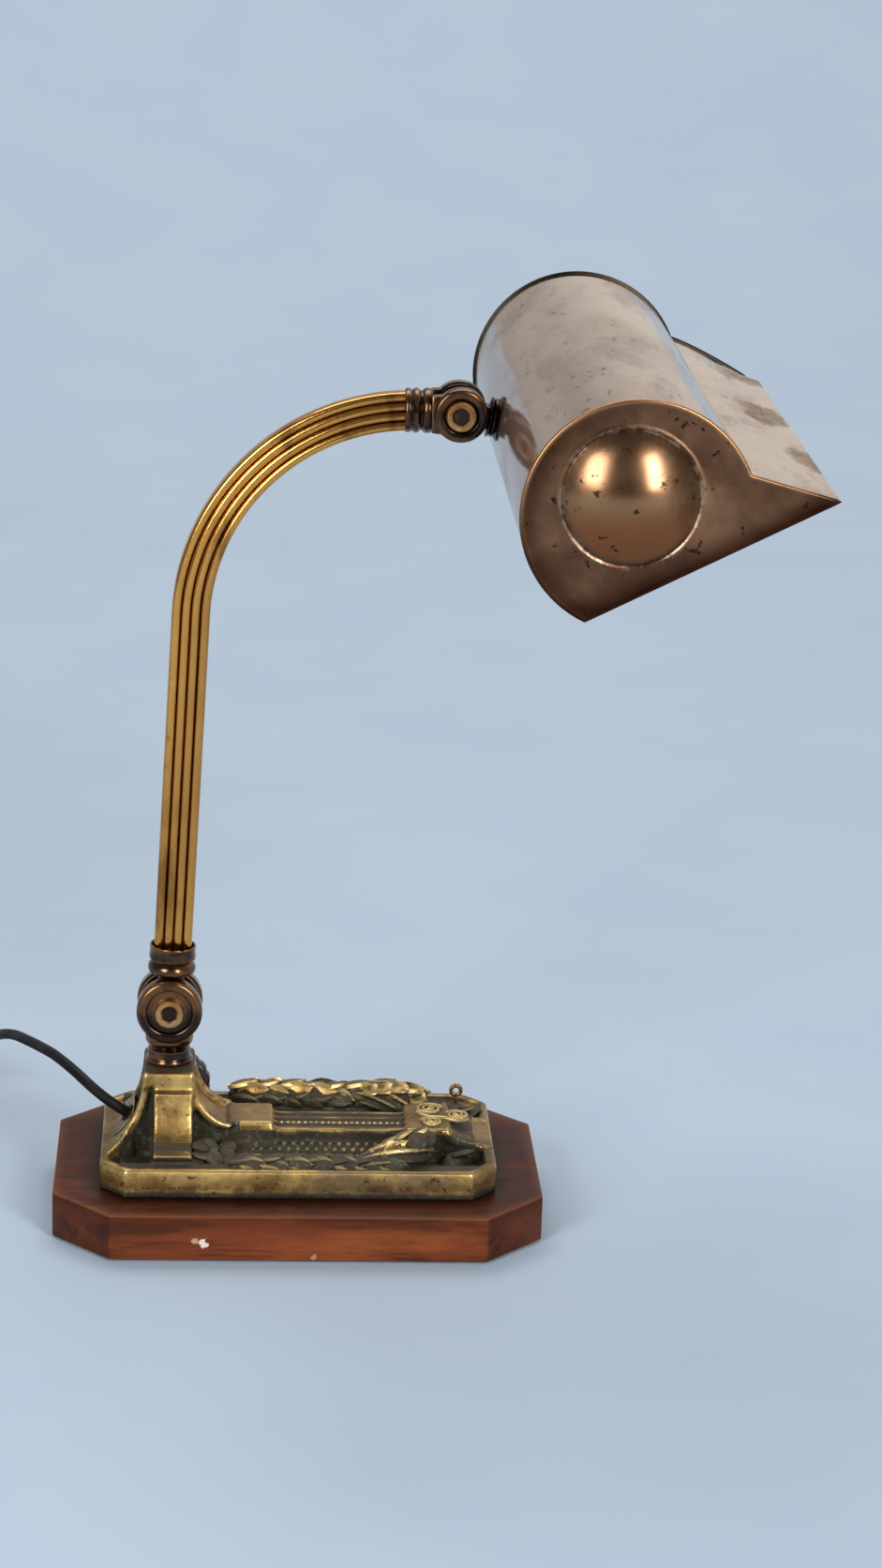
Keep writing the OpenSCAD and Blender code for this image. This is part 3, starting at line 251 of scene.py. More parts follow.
def tube(bm, path, radius, sides=10, flat=1.0, taper=None, lobes=0, depth=0.0, twist=0.0):
    """A round, flattened or lobed tube along points; taper is each point's share of the radius."""
    rows = []
    for i, p in enumerate(path):
        ahead = (path[min(i + 1, len(path) - 1)] - path[max(i - 1, 0)]).normalized()
        side = ahead.cross(UP)
        if side.length < 1e-4:
            side = ahead.cross(Vector((0, 1, 0)))
        side.normalize()
        up = side.cross(ahead)
        share = taper[i] if taper else 1.0
        row = []
        for a in around(sides):
            r = radius * share * (1 + depth * math.cos(lobes * (a + twist * i)))
            row.append(bm.verts.new(p + r * math.cos(a) * side + r * flat * math.sin(a) * up))
        rows.append(row)
    skin(bm, rows, ends=True)


def smooth_path(points, steps):
    """A smooth curve through given points."""
    path = []
    for i in range(len(points) - 1):
        a, b = points[max(i - 1, 0)], points[i]
        c, d = points[i + 1], points[min(i + 2, len(points) - 1)]
        for f in (k / steps for k in range(steps)):
            bow = (2 * a - 5 * b + 4 * c - d) * f * f
            path.append(0.5 * (2 * b + (c - a) * f + bow + (3 * b - a - 3 * c + d) * f * f * f))
    return path + [points[-1]]


def step(low, high, x):
    """A smooth rise from 0 to 1."""
    f = min(max((x - low) / (high - low), 0.0), 1.0)
    return f * f * (3 - 2 * f)


def write_mask(mesh, name, values):
    """Keeps a number at each point of a mesh, for its finish to read."""
    mesh.attributes.new(name, "FLOAT", "POINT").data.foreach_set("value", values)


RAYS, GOLDEN = 40, 2.399963


def on_sphere(i):
    """One of the rays that are spread evenly over a sphere, by the golden angle."""
    h = 1 - (2 * i + 1) / RAYS
    wide = math.sqrt(1 - h * h)
    return Vector((wide * math.cos(GOLDEN * i), wide * math.sin(GOLDEN * i), h))


SPHERE = [on_sphere(i) for i in range(RAYS)]
RAY_LIFT, RAY_SPREAD, FAR_FADE = 0.25 * MM, 0.2, 0.5
RUB_GAIN = 2.2


def weather(pieces, reach, extra=()):
    """Gives each piece the masks of its patina: recess where dirt stays, edge where hands rub."""
    points, faces = [], []
    for piece in (*pieces, *extra):
        first = len(points)
        points += [v.co.copy() for v in piece.data.vertices]
        faces += [[first + i for i in f.vertices] for f in piece.data.polygons]
    tree = BVHTree.FromPolygons(points, faces)
    for piece in pieces:
        mesh = piece.data
        bend, count = [0.0] * len(mesh.vertices), [0] * len(mesh.vertices)
        for edge in mesh.edges:
            a, b = (mesh.vertices[i] for i in edge.vertices)
            along = b.co - a.co
            if along.length < 1e-9:
                continue
            along.normalize()
            for v, lean in ((a, -a.normal.dot(along)), (b, b.normal.dot(along))):
                bend[v.index] += lean
                count[v.index] += 1
        rubbed = [t / max(n, 1) * RUB_GAIN for t, n in zip(bend, count)]
        write_mask(mesh, "edge", [min(max(r, 0.0), 1.0) for r in rubbed])
        write_mask(mesh, "recess", [shut_in(tree, v, reach * MM) for v in mesh.vertices])


def shut_in(tree, point, reach):
    """How much of what a point faces is closed off within reach, in metres."""
    ways = [way for way in SPHERE if way.dot(point.normal) >= RAY_SPREAD]
    hit = 0
    for way in ways:
        found = tree.ray_cast(point.co + point.normal * RAY_LIFT, way, reach)
        if found[0] is not None:
            hit += 1 - FAR_FADE * found[3] / reach
    return hit / max(len(ways), 1)


# Materials


class Finish:
    """A finish while it is made: its nodes, its shader and the colour laid on it so far."""

    def __init__(self, owner, shader="Principled BSDF", base=None, **constants):
        if isinstance(owner, str):
            owner = bpy.data.materials.new(owner)
        owner.use_nodes = True
        self.tree = owner.node_tree
        self.shader = self.tree.nodes[shader]
        self.tone = base
        for key, value in constants.items():
            self.socket(key).default_value = value

    def socket(self, key):
        """The shader's input of that name."""
        return self.shader.inputs[key.replace("_", " ").title().replace("Ior", "IOR")]

    def add(self, kind, inputs=None, out=0, **settings):
        """Adds a node with its settings, sets or links its inputs, and gives one of its outputs."""
        made = self.tree.nodes.new("ShaderNode" + kind)
        for key, value in settings.items():
            setattr(made, key, value)
        for key, value in (inputs or {}).items():
            if isinstance(value, bpy.types.NodeSocket):
                self.tree.links.new(value, made.inputs[key])
            else:
                made.inputs[key].default_value = value
        return made.outputs[out]

    @cached_property
    def place(self):
        """Where a point lies on the lamp."""
        return self.add("TexCoord", out="Object")

    def grain(self, size, detail=4.0, rough=0.55, stretch=(1, 1, 1)):
        """A pattern of features about size millimetres across; a stretch below 1 draws them out."""
        drawn = self.add("VectorMath", {0: self.place, 1: stretch}, operation="MULTIPLY")
        scale = 1 / MM / size / 2
        shape = {"Vector": drawn, "Scale": scale, "Detail": detail, "Roughness": rough}
        return self.add("TexNoise", shape, "Fac")

    def share(self, *terms, how="MULTIPLY"):
        """How far a layer shows: its terms, multiplied or joined in another way.

        A term is a number, a pattern or a mask's name. In a tuple it is followed by the two levels
        that it rises between, and then by what it rises from and to where that is not 0 and 1.
        """
        total = None
        for term in terms:
            source, *levels = term if isinstance(term, tuple) else (term,)
            if isinstance(source, str):
                source = self.add("Attribute", out="Fac", attribute_name=source)
            if levels:
                rise = dict(enumerate((source, *levels)))
                source = self.add("MapRange", rise, interpolation_type="SMOOTHSTEP")
            if total is not None:
                source = self.add("Math", {0: total, 1: source}, operation=how, use_clamp=True)
            total = source
        return total

    def over(self, first, second, *terms):
        """The second colour over the first, as far as the terms let it show."""
        first, second = (linear(c) if isinstance(c, str) else c for c in (first, second))
        return self.add("Mix", {0: self.share(*terms), 6: first, 7: second}, 2, data_type="RGBA")

    def lay(self, layer, *terms):
        """Lays a colour over those laid so far."""
        self.tone = self.over(self.tone, layer, *terms)

    def close(self, grit=None, **links):
        """Links the colour and other shares to the shader.

        grit is a bump: its pattern, its depth in millimetres and its strength.
        """
        if self.tone is not None:
            links["base_color"] = self.tone
        if grit:
            height, depth, strength = grit
            bump = {"Height": height, "Distance": depth * MM, "Strength": strength}
            links["normal"] = self.add("Bump", bump)
        for key, value in links.items():
            self.tree.links.new(value, self.socket(key))


# Places where the plinth's varnish is chipped: a point in millimetres, the chip's radius and colour
CHIPS = (
    ((-36.4, -60.5, 8.0), 2.5, "#e0d2c2"),
    ((-39.6, -60.5, 9.0), 1.6, "#b98f72"),
    ((6, -60.5, 2.6), 1.7, "#a98468"),
)


def make_mahogany():
    # Mahogany, planed, stained and wax-varnished: long ribbon grain, dark open pores, worn edges.
    # The pores are drawn about four times as wide as they are, so that they show
    wood = Finish("mahogany_varnish", base="#381308", specular_ior_level=0.14)
    ribbon = wood.grain(4.5, 6, 0.7, (0.1, 1, 1))
    figure = wood.grain(17, 5, 0.65, (0.4, 1, 1.6))
    pores = wood.grain(0.9, 3, 0.7, (0.05, 1, 1))
    cloud = wood.grain(38, 3)
    wood.lay(tone("wood"), (ribbon, 0.41, 0.59))
    wood.lay("#8e4822", (figure, 0.46, 0.62, 0.0, 0.65))
    wood.lay("#2c0f08", (pores, 0.56, 0.68, 0.0, 0.6))
    # Painted shade: the top face is laid darker, in clouds, as it takes less light than the front
    wood.lay("#2e1007", "top", (cloud, 0.3, 0.7, 0.55, 0.8))
    # Painted shadow round the foot of the tray, with dirt in it, darkens the top next to the
    # casting
    wood.lay("#170c07", "grime", 0.8)
    wood.lay("#a5683f", ("edge", 0.12, 0.5), 0.5)
    # Painted shade: the cut corners and ends, and the upper part of the sides, are laid darker
    along = wood.add("SeparateXYZ", {0: wood.place}, "X")
    across = wood.add("Math", {0: along}, operation="ABSOLUTE")
    height = wood.add("SeparateXYZ", {0: wood.place}, "Z")
    for stain in ((across, 0.0722, 0.0732, 0.0, 0.55), (height, 0.009, 0.019, 0.0, 0.5)):
        wood.lay("#2e1007", wood.share(stain, "top", how="SUBTRACT"))
    torn = wood.grain(1.6, 3, 0.6)
    for point, radius, bare in CHIPS:
        middle = tuple(c * MM for c in point)
        away = wood.add("VectorMath", {0: wood.place, 1: middle}, "Value", operation="DISTANCE")
        ragged = wood.add("Math", {0: torn, 1: 3 * radius * MM, 2: away}, operation="MULTIPLY_ADD")
        wood.lay(bare, (ragged, 1.95 * radius * MM, 2.2 * radius * MM, 1.0, 0.0))
    wood.close((pores, 0.12, 0.6), roughness=wood.share((ribbon, 0.3, 0.7, 0.34, 0.5)))


def make_cast_brass():
    # Sand-cast brass, never repolished: gold on rubbed edges, olive-brown skin, black-green dirt in
    # hollows. The grit of the sand is drawn about three times as coarse as it is, so that it shows
    cast = Finish("cast_brass_patina", base="#997846")
    blotch, grit, wide = cast.grain(11, 5, 0.65), cast.grain(1.3, 3, 0.7), cast.grain(32, 2)
    height = cast.add("SeparateXYZ", {0: cast.place}, "Z")
    up = cast.add("SeparateXYZ", {0: cast.add("TexCoord", out="Normal")}, "Z")
    foot = (height, (PLINTH_TOP + 8) * MM, (PLINTH_TOP + 1) * MM, 0.25, 1.0)
    foot_shadow = (height, (PLINTH_TOP + 1.2) * MM, (PLINTH_TOP + 0.2) * MM)
    cast.lay(tone("cast"), (blotch, 0.36, 0.64))
    cast.lay("#857564", (wide, 0.5, 0.68, 0.0, 0.55))
    cast.lay("#43321c", (grit, 0.58, 0.68, 0.0, 0.8))
    cast.lay("#6b3f24", foot, (cast.grain(5, 6, 0.75), 0.45, 0.57), 0.8)
    dirt = cast.share(("recess", 0.12, 0.38), cast.share(blotch, 0.6, how="SUBTRACT"), how="ADD")
    # Painted shadow: a dark line along the casting's foot, where it stands on the plinth, joins the
    # dirt in the hollows
    dirt = cast.share(dirt, cast.share(foot_shadow, 0.85), how="MAXIMUM")
    cast.lay("#24251e", dirt, 0.95)
    cast.lay("#66796b", (grit, 0.54, 0.66), ("recess", 0.32, 0.6), 0.55)
    cast.lay("#504435", (up, 0.5, 0.95, 0.0, 0.8), (wide, 0.3, 0.7, 0.6, 1.0))
    shine = cast.share(("edge", 0.1, 0.5), cast.share("recess", 1.1), how="SUBTRACT")
    cast.lay("#e2c98a", shine, 0.75)
    cast.close(
        (cast.share(cast.share(blotch, 0.6), grit, how="ADD"), 0.22, 0.7),
        metallic=cast.share((dirt, 0.0, 1.0, 0.95, 0.35)),
        roughness=cast.share((dirt, 0.0, 1.0, 0.32, 0.62), cast.share(grit, 0.12), how="ADD"),
    )


def make_reed_brass():
    # Drawn and bent brass, hand-polished on the reeds: dark, tarnished grooves, painted shade on
    # the right-hand reed, brown drifts
    reed = Finish("drawn_brass_reeds", base=tone("reed"), metallic=1.0)
    drift = reed.grain(26, 4, 0.6, (1, 1, 0.45))
    fleck = reed.grain(1.6, 4, 0.7)
    stain = reed.grain(8, 5, 0.65, (1, 1, 0.3))
    reed.lay("#b98246", (drift, 0.42, 0.72))
    reed.lay("#5b3d1c", (fleck, 0.62, 0.72, 0.0, 0.55))
    reed.lay("#7a4f26", (stain, 0.52, 0.66, 0.0, 0.65))
    reed.lay("#1a1009", ("groove", 0.34, 0.8))
    gloss = reed.share((drift, 0.3, 0.75, 0.15, 0.28), ("groove", 0.4, 0.9, 0.0, 0.3), how="ADD")
    reed.close((fleck, 0.05, 0.5), roughness=gloss)


def make_dark_bronze():
    # Turned bronze with a lacquered brown patina: near black, coppery where the edges are rubbed
    bronze = Finish(
        "brown_patina_bronze", base=tone("bronze"), metallic=0.92,
        coat_weight=0.35, coat_roughness=0.12,
    )
    cloud, fleck = bronze.grain(7, 4), bronze.grain(0.9, 3, 0.7)
    bronze.lay("#75502f", (cloud, 0.42, 0.62))
    bronze.lay("#1d120c", (fleck, 0.62, 0.72, 0.0, 0.5))
    bronze.lay("#140d09", ("recess", 0.25, 0.6, 0.0, 0.8))
    bronze.lay("#9a6f48", ("edge", 0.15, 0.55, 0.0, 0.6))
    bronze.close((fleck, 0.04, 0.4), roughness=bronze.share((cloud, 0.3, 0.7, 0.15, 0.28)))


def make_plating():
    # Nickel plating worn on rolled brass sheet: soft mirror, grey haze, pinprick stains, and brass
    # showing on the visor
    plate = Finish("worn_nickel_plating", base=tone("plating"), specular_tint=linear("#fdf6ee"))
    haze = plate.grain(26, 5, 0.6, (1, 0.4, 1))
    drift = plate.grain(11, 5, 0.66, (1, 0.3, 1))
    spot = plate.grain(2.0, 3, 0.75, (1, 0.45, 1))
    ragged = plate.grain(9, 6, 0.7, (1, 0.5, 1))
    bare = plate.share(plate.share("worn", 0.6), plate.share(ragged, 0.9), how="ADD")
    bare = plate.share((bare, 0.74, 0.99))
    plate.lay("#cdbab0", (haze, 0.4, 0.68))
    plate.lay("#8f746a", (drift, 0.5, 0.64, 0.0, 0.8))
    plate.lay("#3c2e25", (spot, 0.6, 0.67), (haze, 0.42, 0.58), 0.8)
    plate.lay(plate.over("#8a683f", "#523d28", (spot, 0.4, 0.6)), bare, 0.85)
    # Painted reflection: the back and left of the tube are laid brown and duller, for the darker,
    # warmer surroundings they mirror, over the sheet's tarnished skin there
    plate.lay("#78563f", "tarnish", 0.85)
    dull = plate.share("tarnish", (haze, 0.35, 0.65, 0.25, 0.65))
    soil = plate.share(plate.share(bare, 0.6), (drift, 0.52, 0.68, 0.0, 0.55), dull, how="MAXIMUM")
    plate.close(
        (spot, 0.03, 0.4),
        metallic=plate.share(1.0, soil, how="SUBTRACT"),
        roughness=plate.share((drift, 0.35, 0.7, 0.08, 0.2), plate.share(bare, 0.28), how="ADD"),
    )


def make_cap_bronze():
    # Spun bronze end cap: brown skin, a painted highlight along the top of the near rim, a dome
    # polished back to gold
    cap = Finish("spun_bronze_cap", base="#634432", metallic=1.0)
    cloud, fleck = cap.grain(16, 5, 0.6), cap.grain(2.6, 3, 0.75)
    cap.lay(tone("cap"), (cloud, 0.38, 0.66))
    cap.lay("#977254", "dome")
    # Dark red-brown skin towards the mouth and the left edge; on the dome's lower half,
    # orange-brown as a painted reflection of the wood below
    cap.lay(cap.over("#2f140b", "#8a4b26", "dome"), "low", 0.88)
    cap.lay("#5c3b26", "dome", (cloud, 0.5, 0.64), 0.6)
    cap.lay("#1c120d", (fleck, 0.62, 0.68, 0.0, 0.85))
    cap.lay("#a8967e", "groove", (fleck, 0.46, 0.6, 0.0, 0.7))
    # Painted highlight: copper light along the top of the near cap's rim
    cap.lay("#b5855c", "rim", 0.8)
    # The far cap's rim is laid near black
    cap.lay("#20231c", "soot")
    gloss = cap.share((cloud, 0.3, 0.7, 0.28, 0.42), cap.share("dome", 0.06), how="SUBTRACT")
    cap.close((fleck, 0.04, 0.4), roughness=gloss)


GLOSS_LEVELS = (0.3, 0.7)


def two_tone(name, grains, levels, tones, gloss=None, grit=None, **constants):
    """A finish of two tones in one grain; gloss and grit start with which grain they follow."""
    made = Finish(name, base=tones[0], **constants)
    grains = [made.grain(*g) for g in grains]
    made.lay(tones[1], (grains[0], *levels))
    links = {}
    if gloss:
        links["roughness"] = made.share((grains[gloss[0]], *GLOSS_LEVELS, *gloss[1:]))
    made.close((grains[grit[0]], *grit[1:]) if grit else None, **links)


def make_small_metals():
    mild, metal = (0.35, 0.68), {"metallic": 1.0}
    # Turned brass: lightly tarnished, fine tool marks, drawn coarser than real so that they show
    two_tone(
        "turned_brass", ((5, 4), (0.8, 3)), mild, ("#c69a58", "#86602f"),
        (1, 0.24, 0.4), (1, 0.03, 0.4), **metal,
    )
    # Rubbed bronze: tan where fingers turn the nuts, brown elsewhere
    two_tone("rubbed_bronze", ((4, 4),), mild, ("#cfa06a", "#8e6439"), (0, 0.3, 0.42), **metal)
    # Zinc-plated steel: grey and slightly blotched
    two_tone("zinc_steel", ((3, 4),), mild, ("#a9a9a5", "#7d7b75"), (0, 0.3, 0.45), **metal)
    # Plain nickel on the bulb's cap, the plug's pins and the filament's wires: warm grey, bright
    two_tone("plain_nickel", ((4, 4),), mild, ("#d2cbbd", "#a9a08f"), (0, 0.18, 0.32), **metal)


def make_plain_stuffs():
    # Bakelite: dark brown phenolic, moulded and glossy, with faint swirls of filler
    two_tone(
        "brown_bakelite", ((9, 5, 0.65), (0.7, 3)), (0.4, 0.7), ("#1c110c", "#38221a"),
        (1, 0.2, 0.34), (1, 0.03, 0.3), ior=1.62,
    )
    # Black PVC flex: satin, scuffed grey in places
    two_tone(
        "black_flex", ((6, 5, 0.65), (0.9, 3)), (0.5, 0.75), ("#0c0a0a", "#221d1b"),
        (0, 0.48, 0.66), (1, 0.05, 0.3), ior=1.53, specular_ior_level=0.2,
    )
    # Wool felt: matted fibres, about half a millimetre apart, coarser than real so that they show
    two_tone(
        "wool_felt", ((0.6, 5, 0.75),), (0.35, 0.65), ("#1b2618", "#3a4a32"), None, (0, 0.3, 0.8),
        roughness=0.95, sheen_weight=0.4, sheen_roughness=0.5,
    )
    # Glazed porcelain: off-white, faintly clouded, glossy
    even = (0.35, 0.7)
    two_tone("glazed_porcelain", ((8, 4),), even, ("#ece6d8", "#d8cfba"), (0, 0.15, 0.28), ior=1.55)
    # Vulcanised fibre: red-brown, matt washers
    two_tone("vulcanised_fibre", ((1.5, 4),), even, ("#5c3421", "#7a4a30"), (0, 0.5, 0.7))
    # Soda-lime bulb glass: clear, slightly warm
    warm = linear("#f6f2e6")
    Finish("bulb_glass_clear", ior=1.5, transmission_weight=1.0, roughness=0.02, base_color=warm)


class LAMP_OT_materials(bpy.types.Operator):
    """Makes every finish of the lamp."""

    bl_idname = "lamp.materials"
    bl_label = "Finishes"

    def execute(self, context):
        make_mahogany()
        make_cast_brass()
        make_reed_brass()
        make_dark_bronze()
        make_plating()
        make_cap_bronze()
        make_small_metals()
        make_plain_stuffs()
        return {"FINISHED"}


# Studio

# The camera that sees the lamp as photographed: turns, place in millimetres, focal length in pixels
CAMERA_YAW, CAMERA_PITCH, CAMERA_ROLL = 0.060482, 0.292794, -0.03204
CAMERA_AT = Vector((-34.38, -1434.13, 607.52))
FOCUS_PIXELS, PHOTO_TALL, SENSOR = 4148.82, 1672, 36

# Soft lamps: name, place, aim, width and height in metres, power in watts
SOFTBOXES = (
    ("left_softbox", (-1.5, -2.0, 1.25), (0.0, 0.0, 0.25), 0.9, 1.5, 44),
    ("right_softbox", (1.3, -2.2, 1.25), (0.0, 0.0, 0.25), 0.6, 1.6, 45),
    ("top_softbox", (0.0, 1.6, 2.9), (0.0, 1.7, 0.0), 2.8, 2.0, 56),
)


class LAMP_OT_stage(bpy.types.Operator):
    """Sets up the camera, the paper sweep and the soft lamps."""

    bl_idname = "lamp.stage"
    bl_label = "Studio"

    def execute(self, context):
        scene = context.scene
        scene.view_settings.view_transform = "Standard"
        self.camera(scene)
        self.sweep(scene)
        self.light(scene)
        return {"FINISHED"}

    def camera(self, scene):
        """The photograph's viewpoint, with its slight roll."""
        c, s, flat = math.cos(CAMERA_YAW), math.sin(CAMERA_YAW), math.cos(CAMERA_PITCH)
        ahead = Vector((s * flat, c * flat, -math.sin(CAMERA_PITCH)))
        right = Vector((c, -s, 0))
        down = ahead.cross(right)
        level = math.cos(CAMERA_ROLL) * right + math.sin(CAMERA_ROLL) * down
        sunk = math.cos(CAMERA_ROLL) * down - math.sin(CAMERA_ROLL) * right
        lens = bpy.data.cameras.new("camera")
        lens.sensor_width = SENSOR
        lens.lens = FOCUS_PIXELS / PHOTO_TALL * SENSOR
        lens.clip_start, lens.clip_end = 0.05, 30
        eye = bpy.data.objects.new("camera", lens)
        turn = Matrix((level, -sunk, -ahead)).transposed().to_4x4()
        eye.matrix_world = Matrix.Translation(CAMERA_AT * MM) @ turn
        scene.collection.objects.link(eye)
        scene.camera = eye

    def sweep(self, scene):
        """A sheet of paper on the floor that curves up behind the lamp, in metres."""
        back, bend = 1.2, 2.2
        side = [(-4.0, 0.0), (-1.2, 0.0), (0.4, 0.0), (back, 0.0)]
        turns = [i * math.pi / 48 for i in range(1, 9)]
        side += [(back + bend * math.sin(a), bend - bend * math.cos(a)) for a in turns]
        bm = bmesh.new()
        strip(bm, [[bm.verts.new((x, y, z)) for x in (-5.0, 0.0, 5.0)] for y, z in side])
        mesh = bpy.data.meshes.new("paper_sweep")
        bm.to_mesh(mesh)
        bm.free()
        mesh.shade_smooth()
        paper = bpy.data.objects.new("paper_sweep", mesh)
        scene.collection.objects.link(paper)
        # Studio background paper: matt and almost even, with faint clouds
        two_tone(
            "studio_paper", ((60, 2),), (0.3, 0.7), (tone("stage"), "#b0c0d1"),
            roughness=0.9, specular_ior_level=0.15,
        )
        mesh.materials.append(bpy.data.materials["studio_paper"])

    def light(self, scene):
        """A room that is dim in front and to the left, and the soft lamps."""
        scene.world = bpy.data.worlds.new("studio")
        room = Finish(scene.world, "Background", color=linear("#f2eeea"))
        way = room.add("TexCoord", out="Generated")
        across, behind = (room.add("SeparateXYZ", {0: way}, axis) for axis in "XY")
        bright = room.share((behind, -0.35, 0.4, 0.14, 0.72), (across, -0.18, 0.22, 0.62, 1.0))
        room.close(strength=bright)
        for name, place, aim, wide, tall, power in SOFTBOXES:
            lamp = bpy.data.lights.new(name, "AREA")
            lamp.shape = "RECTANGLE"
            lamp.size, lamp.size_y, lamp.energy = wide, tall, power
            box = bpy.data.objects.new(name, lamp)
            box.location = place
            box.rotation_mode = "QUATERNION"
            box.rotation_quaternion = (Vector(aim) - Vector(place)).to_track_quat("-Z", "Y")
            scene.collection.objects.link(box)


# Cord

# The route that the photograph shows, from the pedestal down to the table
CORD_ROUTE = (
    (-81, 3, 46.5), (-88.5, 12, 50), (-96.5, 26, 51), (-102.5, 40, 49), (-109, 56, 46),
    (-116, 76, 41), (-123, 97, 33), (-130, 110, 25), (-140, 120, 16), (-152, 126, 8.5),
    (-165, 128, 4),
)
HOLE_TURN = math.radians(50.5)
COIL_AT = Vector((-184, 96.5, 0))
COIL_TURNS, COIL_LAYERS, COIL_IN, COIL_GAP, COIL_LIFT = 9.25, 4, 20.0, 0.6, 1.0
COIL_STEPS = 36
TAIL = 44.0
PLUG_Z = 13.0


def cord_hole():
    """Middle of the cord's hole in the left flank, and the way out of it."""
    c, s = math.cos(HOLE_TURN), math.sin(HOLE_TURN)
    out = Vector((-LEFT_FALL * c, 0, LEFT_RUN * s)).normalized()
    return Vector((CAST_LOW.x + LEFT_RUN * c, 0, PED_TOP - LEFT_FALL * s)), out


def coil_point(turn, thick):
    """A point of the coil after so many turns; its layers wind inwards and outwards by turns."""
    pitch, per = thick + COIL_GAP, COIL_TURNS / COIL_LAYERS
    k = math.floor(turn / per)
    f = turn / per - k
    wide = COIL_IN + pitch * per * (1 - f if k % 2 == 0 else f)
    layer = sum(step(per * j - 0.25, per * j + 0.25, turn) for j in range(1, COIL_LAYERS))
    height = COIL_LIFT + thick / 2 + pitch * layer
    a = math.radians(90 + 360 * turn)
    return COIL_AT + Vector((wide * math.cos(a), wide * math.sin(a), height))


def cord_path(thick):
    """The whole cord: out of the hole, down to the table, round the coil and on to the plug."""
    hole, out = cord_hole()
    first = coil_point(0, thick) + Vector((thick, 0, 0))
    last = coil_point(COIL_TURNS, thick) - Vector((0, thick, 0))
    lead = [hole + 0.8 * out, hole + 9 * out, *(Vector(p) for p in CORD_ROUTE)]
    lead += [first + Vector((6, 0, 0)), first]
    coil = [coil_point(i / COIL_STEPS, thick) for i in range(int(COIL_TURNS * COIL_STEPS) + 1)]
    plug = Vector((last.x, last.y - TAIL, PLUG_Z))
    tail = [last, last - Vector((0, 8, 0.2)), (last + plug) / 2, plug + Vector((0, 8, 0.1)), plug]
    return smooth_path(lead, 5) + coil + smooth_path(tail, 6)


class LAMP_OT_cord(bpy.types.Operator):
    """Lays the mains cord from the pedestal to its tied coil and plug."""

    bl_idname = "lamp.cord"
    bl_label = "Cord"

    def execute(self, context):
        thick = sizes().cord / MM
        path = cord_path(thick)
        curve = bpy.data.curves.new("mains_cord", "CURVE")
        curve.dimensions = "3D"
        curve.bevel_depth = thick / 2 * MM
        curve.bevel_resolution = 4
        curve.use_fill_caps = True
        line = curve.splines.new("POLY")
        line.points.add(len(path) - 1)
        for point, p in zip(line.points, path):
            point.co = (*(p * MM), 1)
        cord = bpy.data.objects.new("mains_cord", curve)
        context.scene.collection.objects.link(cord)
        curve.materials.append(bpy.data.materials["black_flex"])
        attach(cord, BASE)
        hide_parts("cord_lead", "cord_coil", "cord_tail")
        return {"FINISHED"}


# Plinth and tray

PLINTH_CUT = 22.5


class LAMP_OT_plinth(bpy.types.Operator):
    """Makes the wooden plinth with softened edges."""

    bl_idname = "lamp.plinth"
    bl_label = "Plinth"

    def execute(self, context):
        size = PLINTH_HIGH - PLINTH_LOW
        bm = bmesh.new()
        outline = octagon(size.x, size.y, PLINTH_CUT)
        prism(bm, outline, "Z", PLINTH_LOW.z, PLINTH_TOP, sizes().plinth_edge / MM, 3)
        # Rings of points on the top, so that the painted shadow and dirt round the tray can fade
        for margin in (9.0, 5.0, 2.6):
            top = max(bm.faces, key=lambda f: f.calc_center_median().z + f.calc_area() * 1e-6)
            bmesh.ops.inset_individual(bm, faces=[top], thickness=margin)
        piece = finish_piece("plinth_block", bm, "mahogany_varnish", BASE, "plinth", 60)
        weather([piece], 6)
        tops, grime = [], []
        for v in piece.data.vertices:
            x, y, z = v.co / MM
            tops.append(step(PLINTH_TOP - 0.6, PLINTH_TOP - 0.1, z))
            away = max(abs(x) - CAST_HIGH.x, abs(y) - CAST_HIGH.y)
            grime.append(tops[-1] * step(8, 0.5, away))
        write_mask(piece.data, "top", tops)
        write_mask(piece.data, "grime", grime)
        return {"FINISHED"}


# The pedestal's hollow edges: the left from its foot up to its top, the right from its top down
FLANK_STEPS = 14
LEFT_FLANK = quarter((CAST_LOW.x, PED_TOP), LEFT_RUN, -LEFT_FALL, 90, 0, FLANK_STEPS)
RIGHT_FLANK = quarter((PED_END, PED_TOP), -RIGHT_RUN, -RIGHT_FALL, 0, 90, FLANK_STEPS)

# The tray's rim as inset and height; then heights and half widths along the tray
RIM = (
    (0, 0), (0, 10.2), (0.35, 11.1), (1.1, 11.5), (3.4, 11.5), (4.2, 11.1), (4.5, 10.2), (4.5, 4.5),
)
RIM_CUT, CUT_SHRINK = 10, 0.586
SUNK_Z = PLINTH_TOP + 1
FLOOR_Z = PLINTH_TOP + 4.5
LEDGE_Z = PLINTH_TOP + 9.5
LEDGE_IN, LEDGE_OUT, LEDGE_END = 29.5, 39, 70
BLOCK_Z, BLOCK_HALF, BLOCK_LONG = PLINTH_TOP + 19, 10.75, 15
BAR_Z, BAR_HALF, BAR_END = PLINTH_TOP + 16, 10.0, 43
SLOPE_Z, SLOPE_OUT = PLINTH_TOP + 10.5, 27.5
BRIDGE_Z, BRIDGE_FROM, BRIDGE_END = PLINTH_TOP + 18, 42.5, CAST_HIGH.x - 0.3
TROUGH_OUT = 29

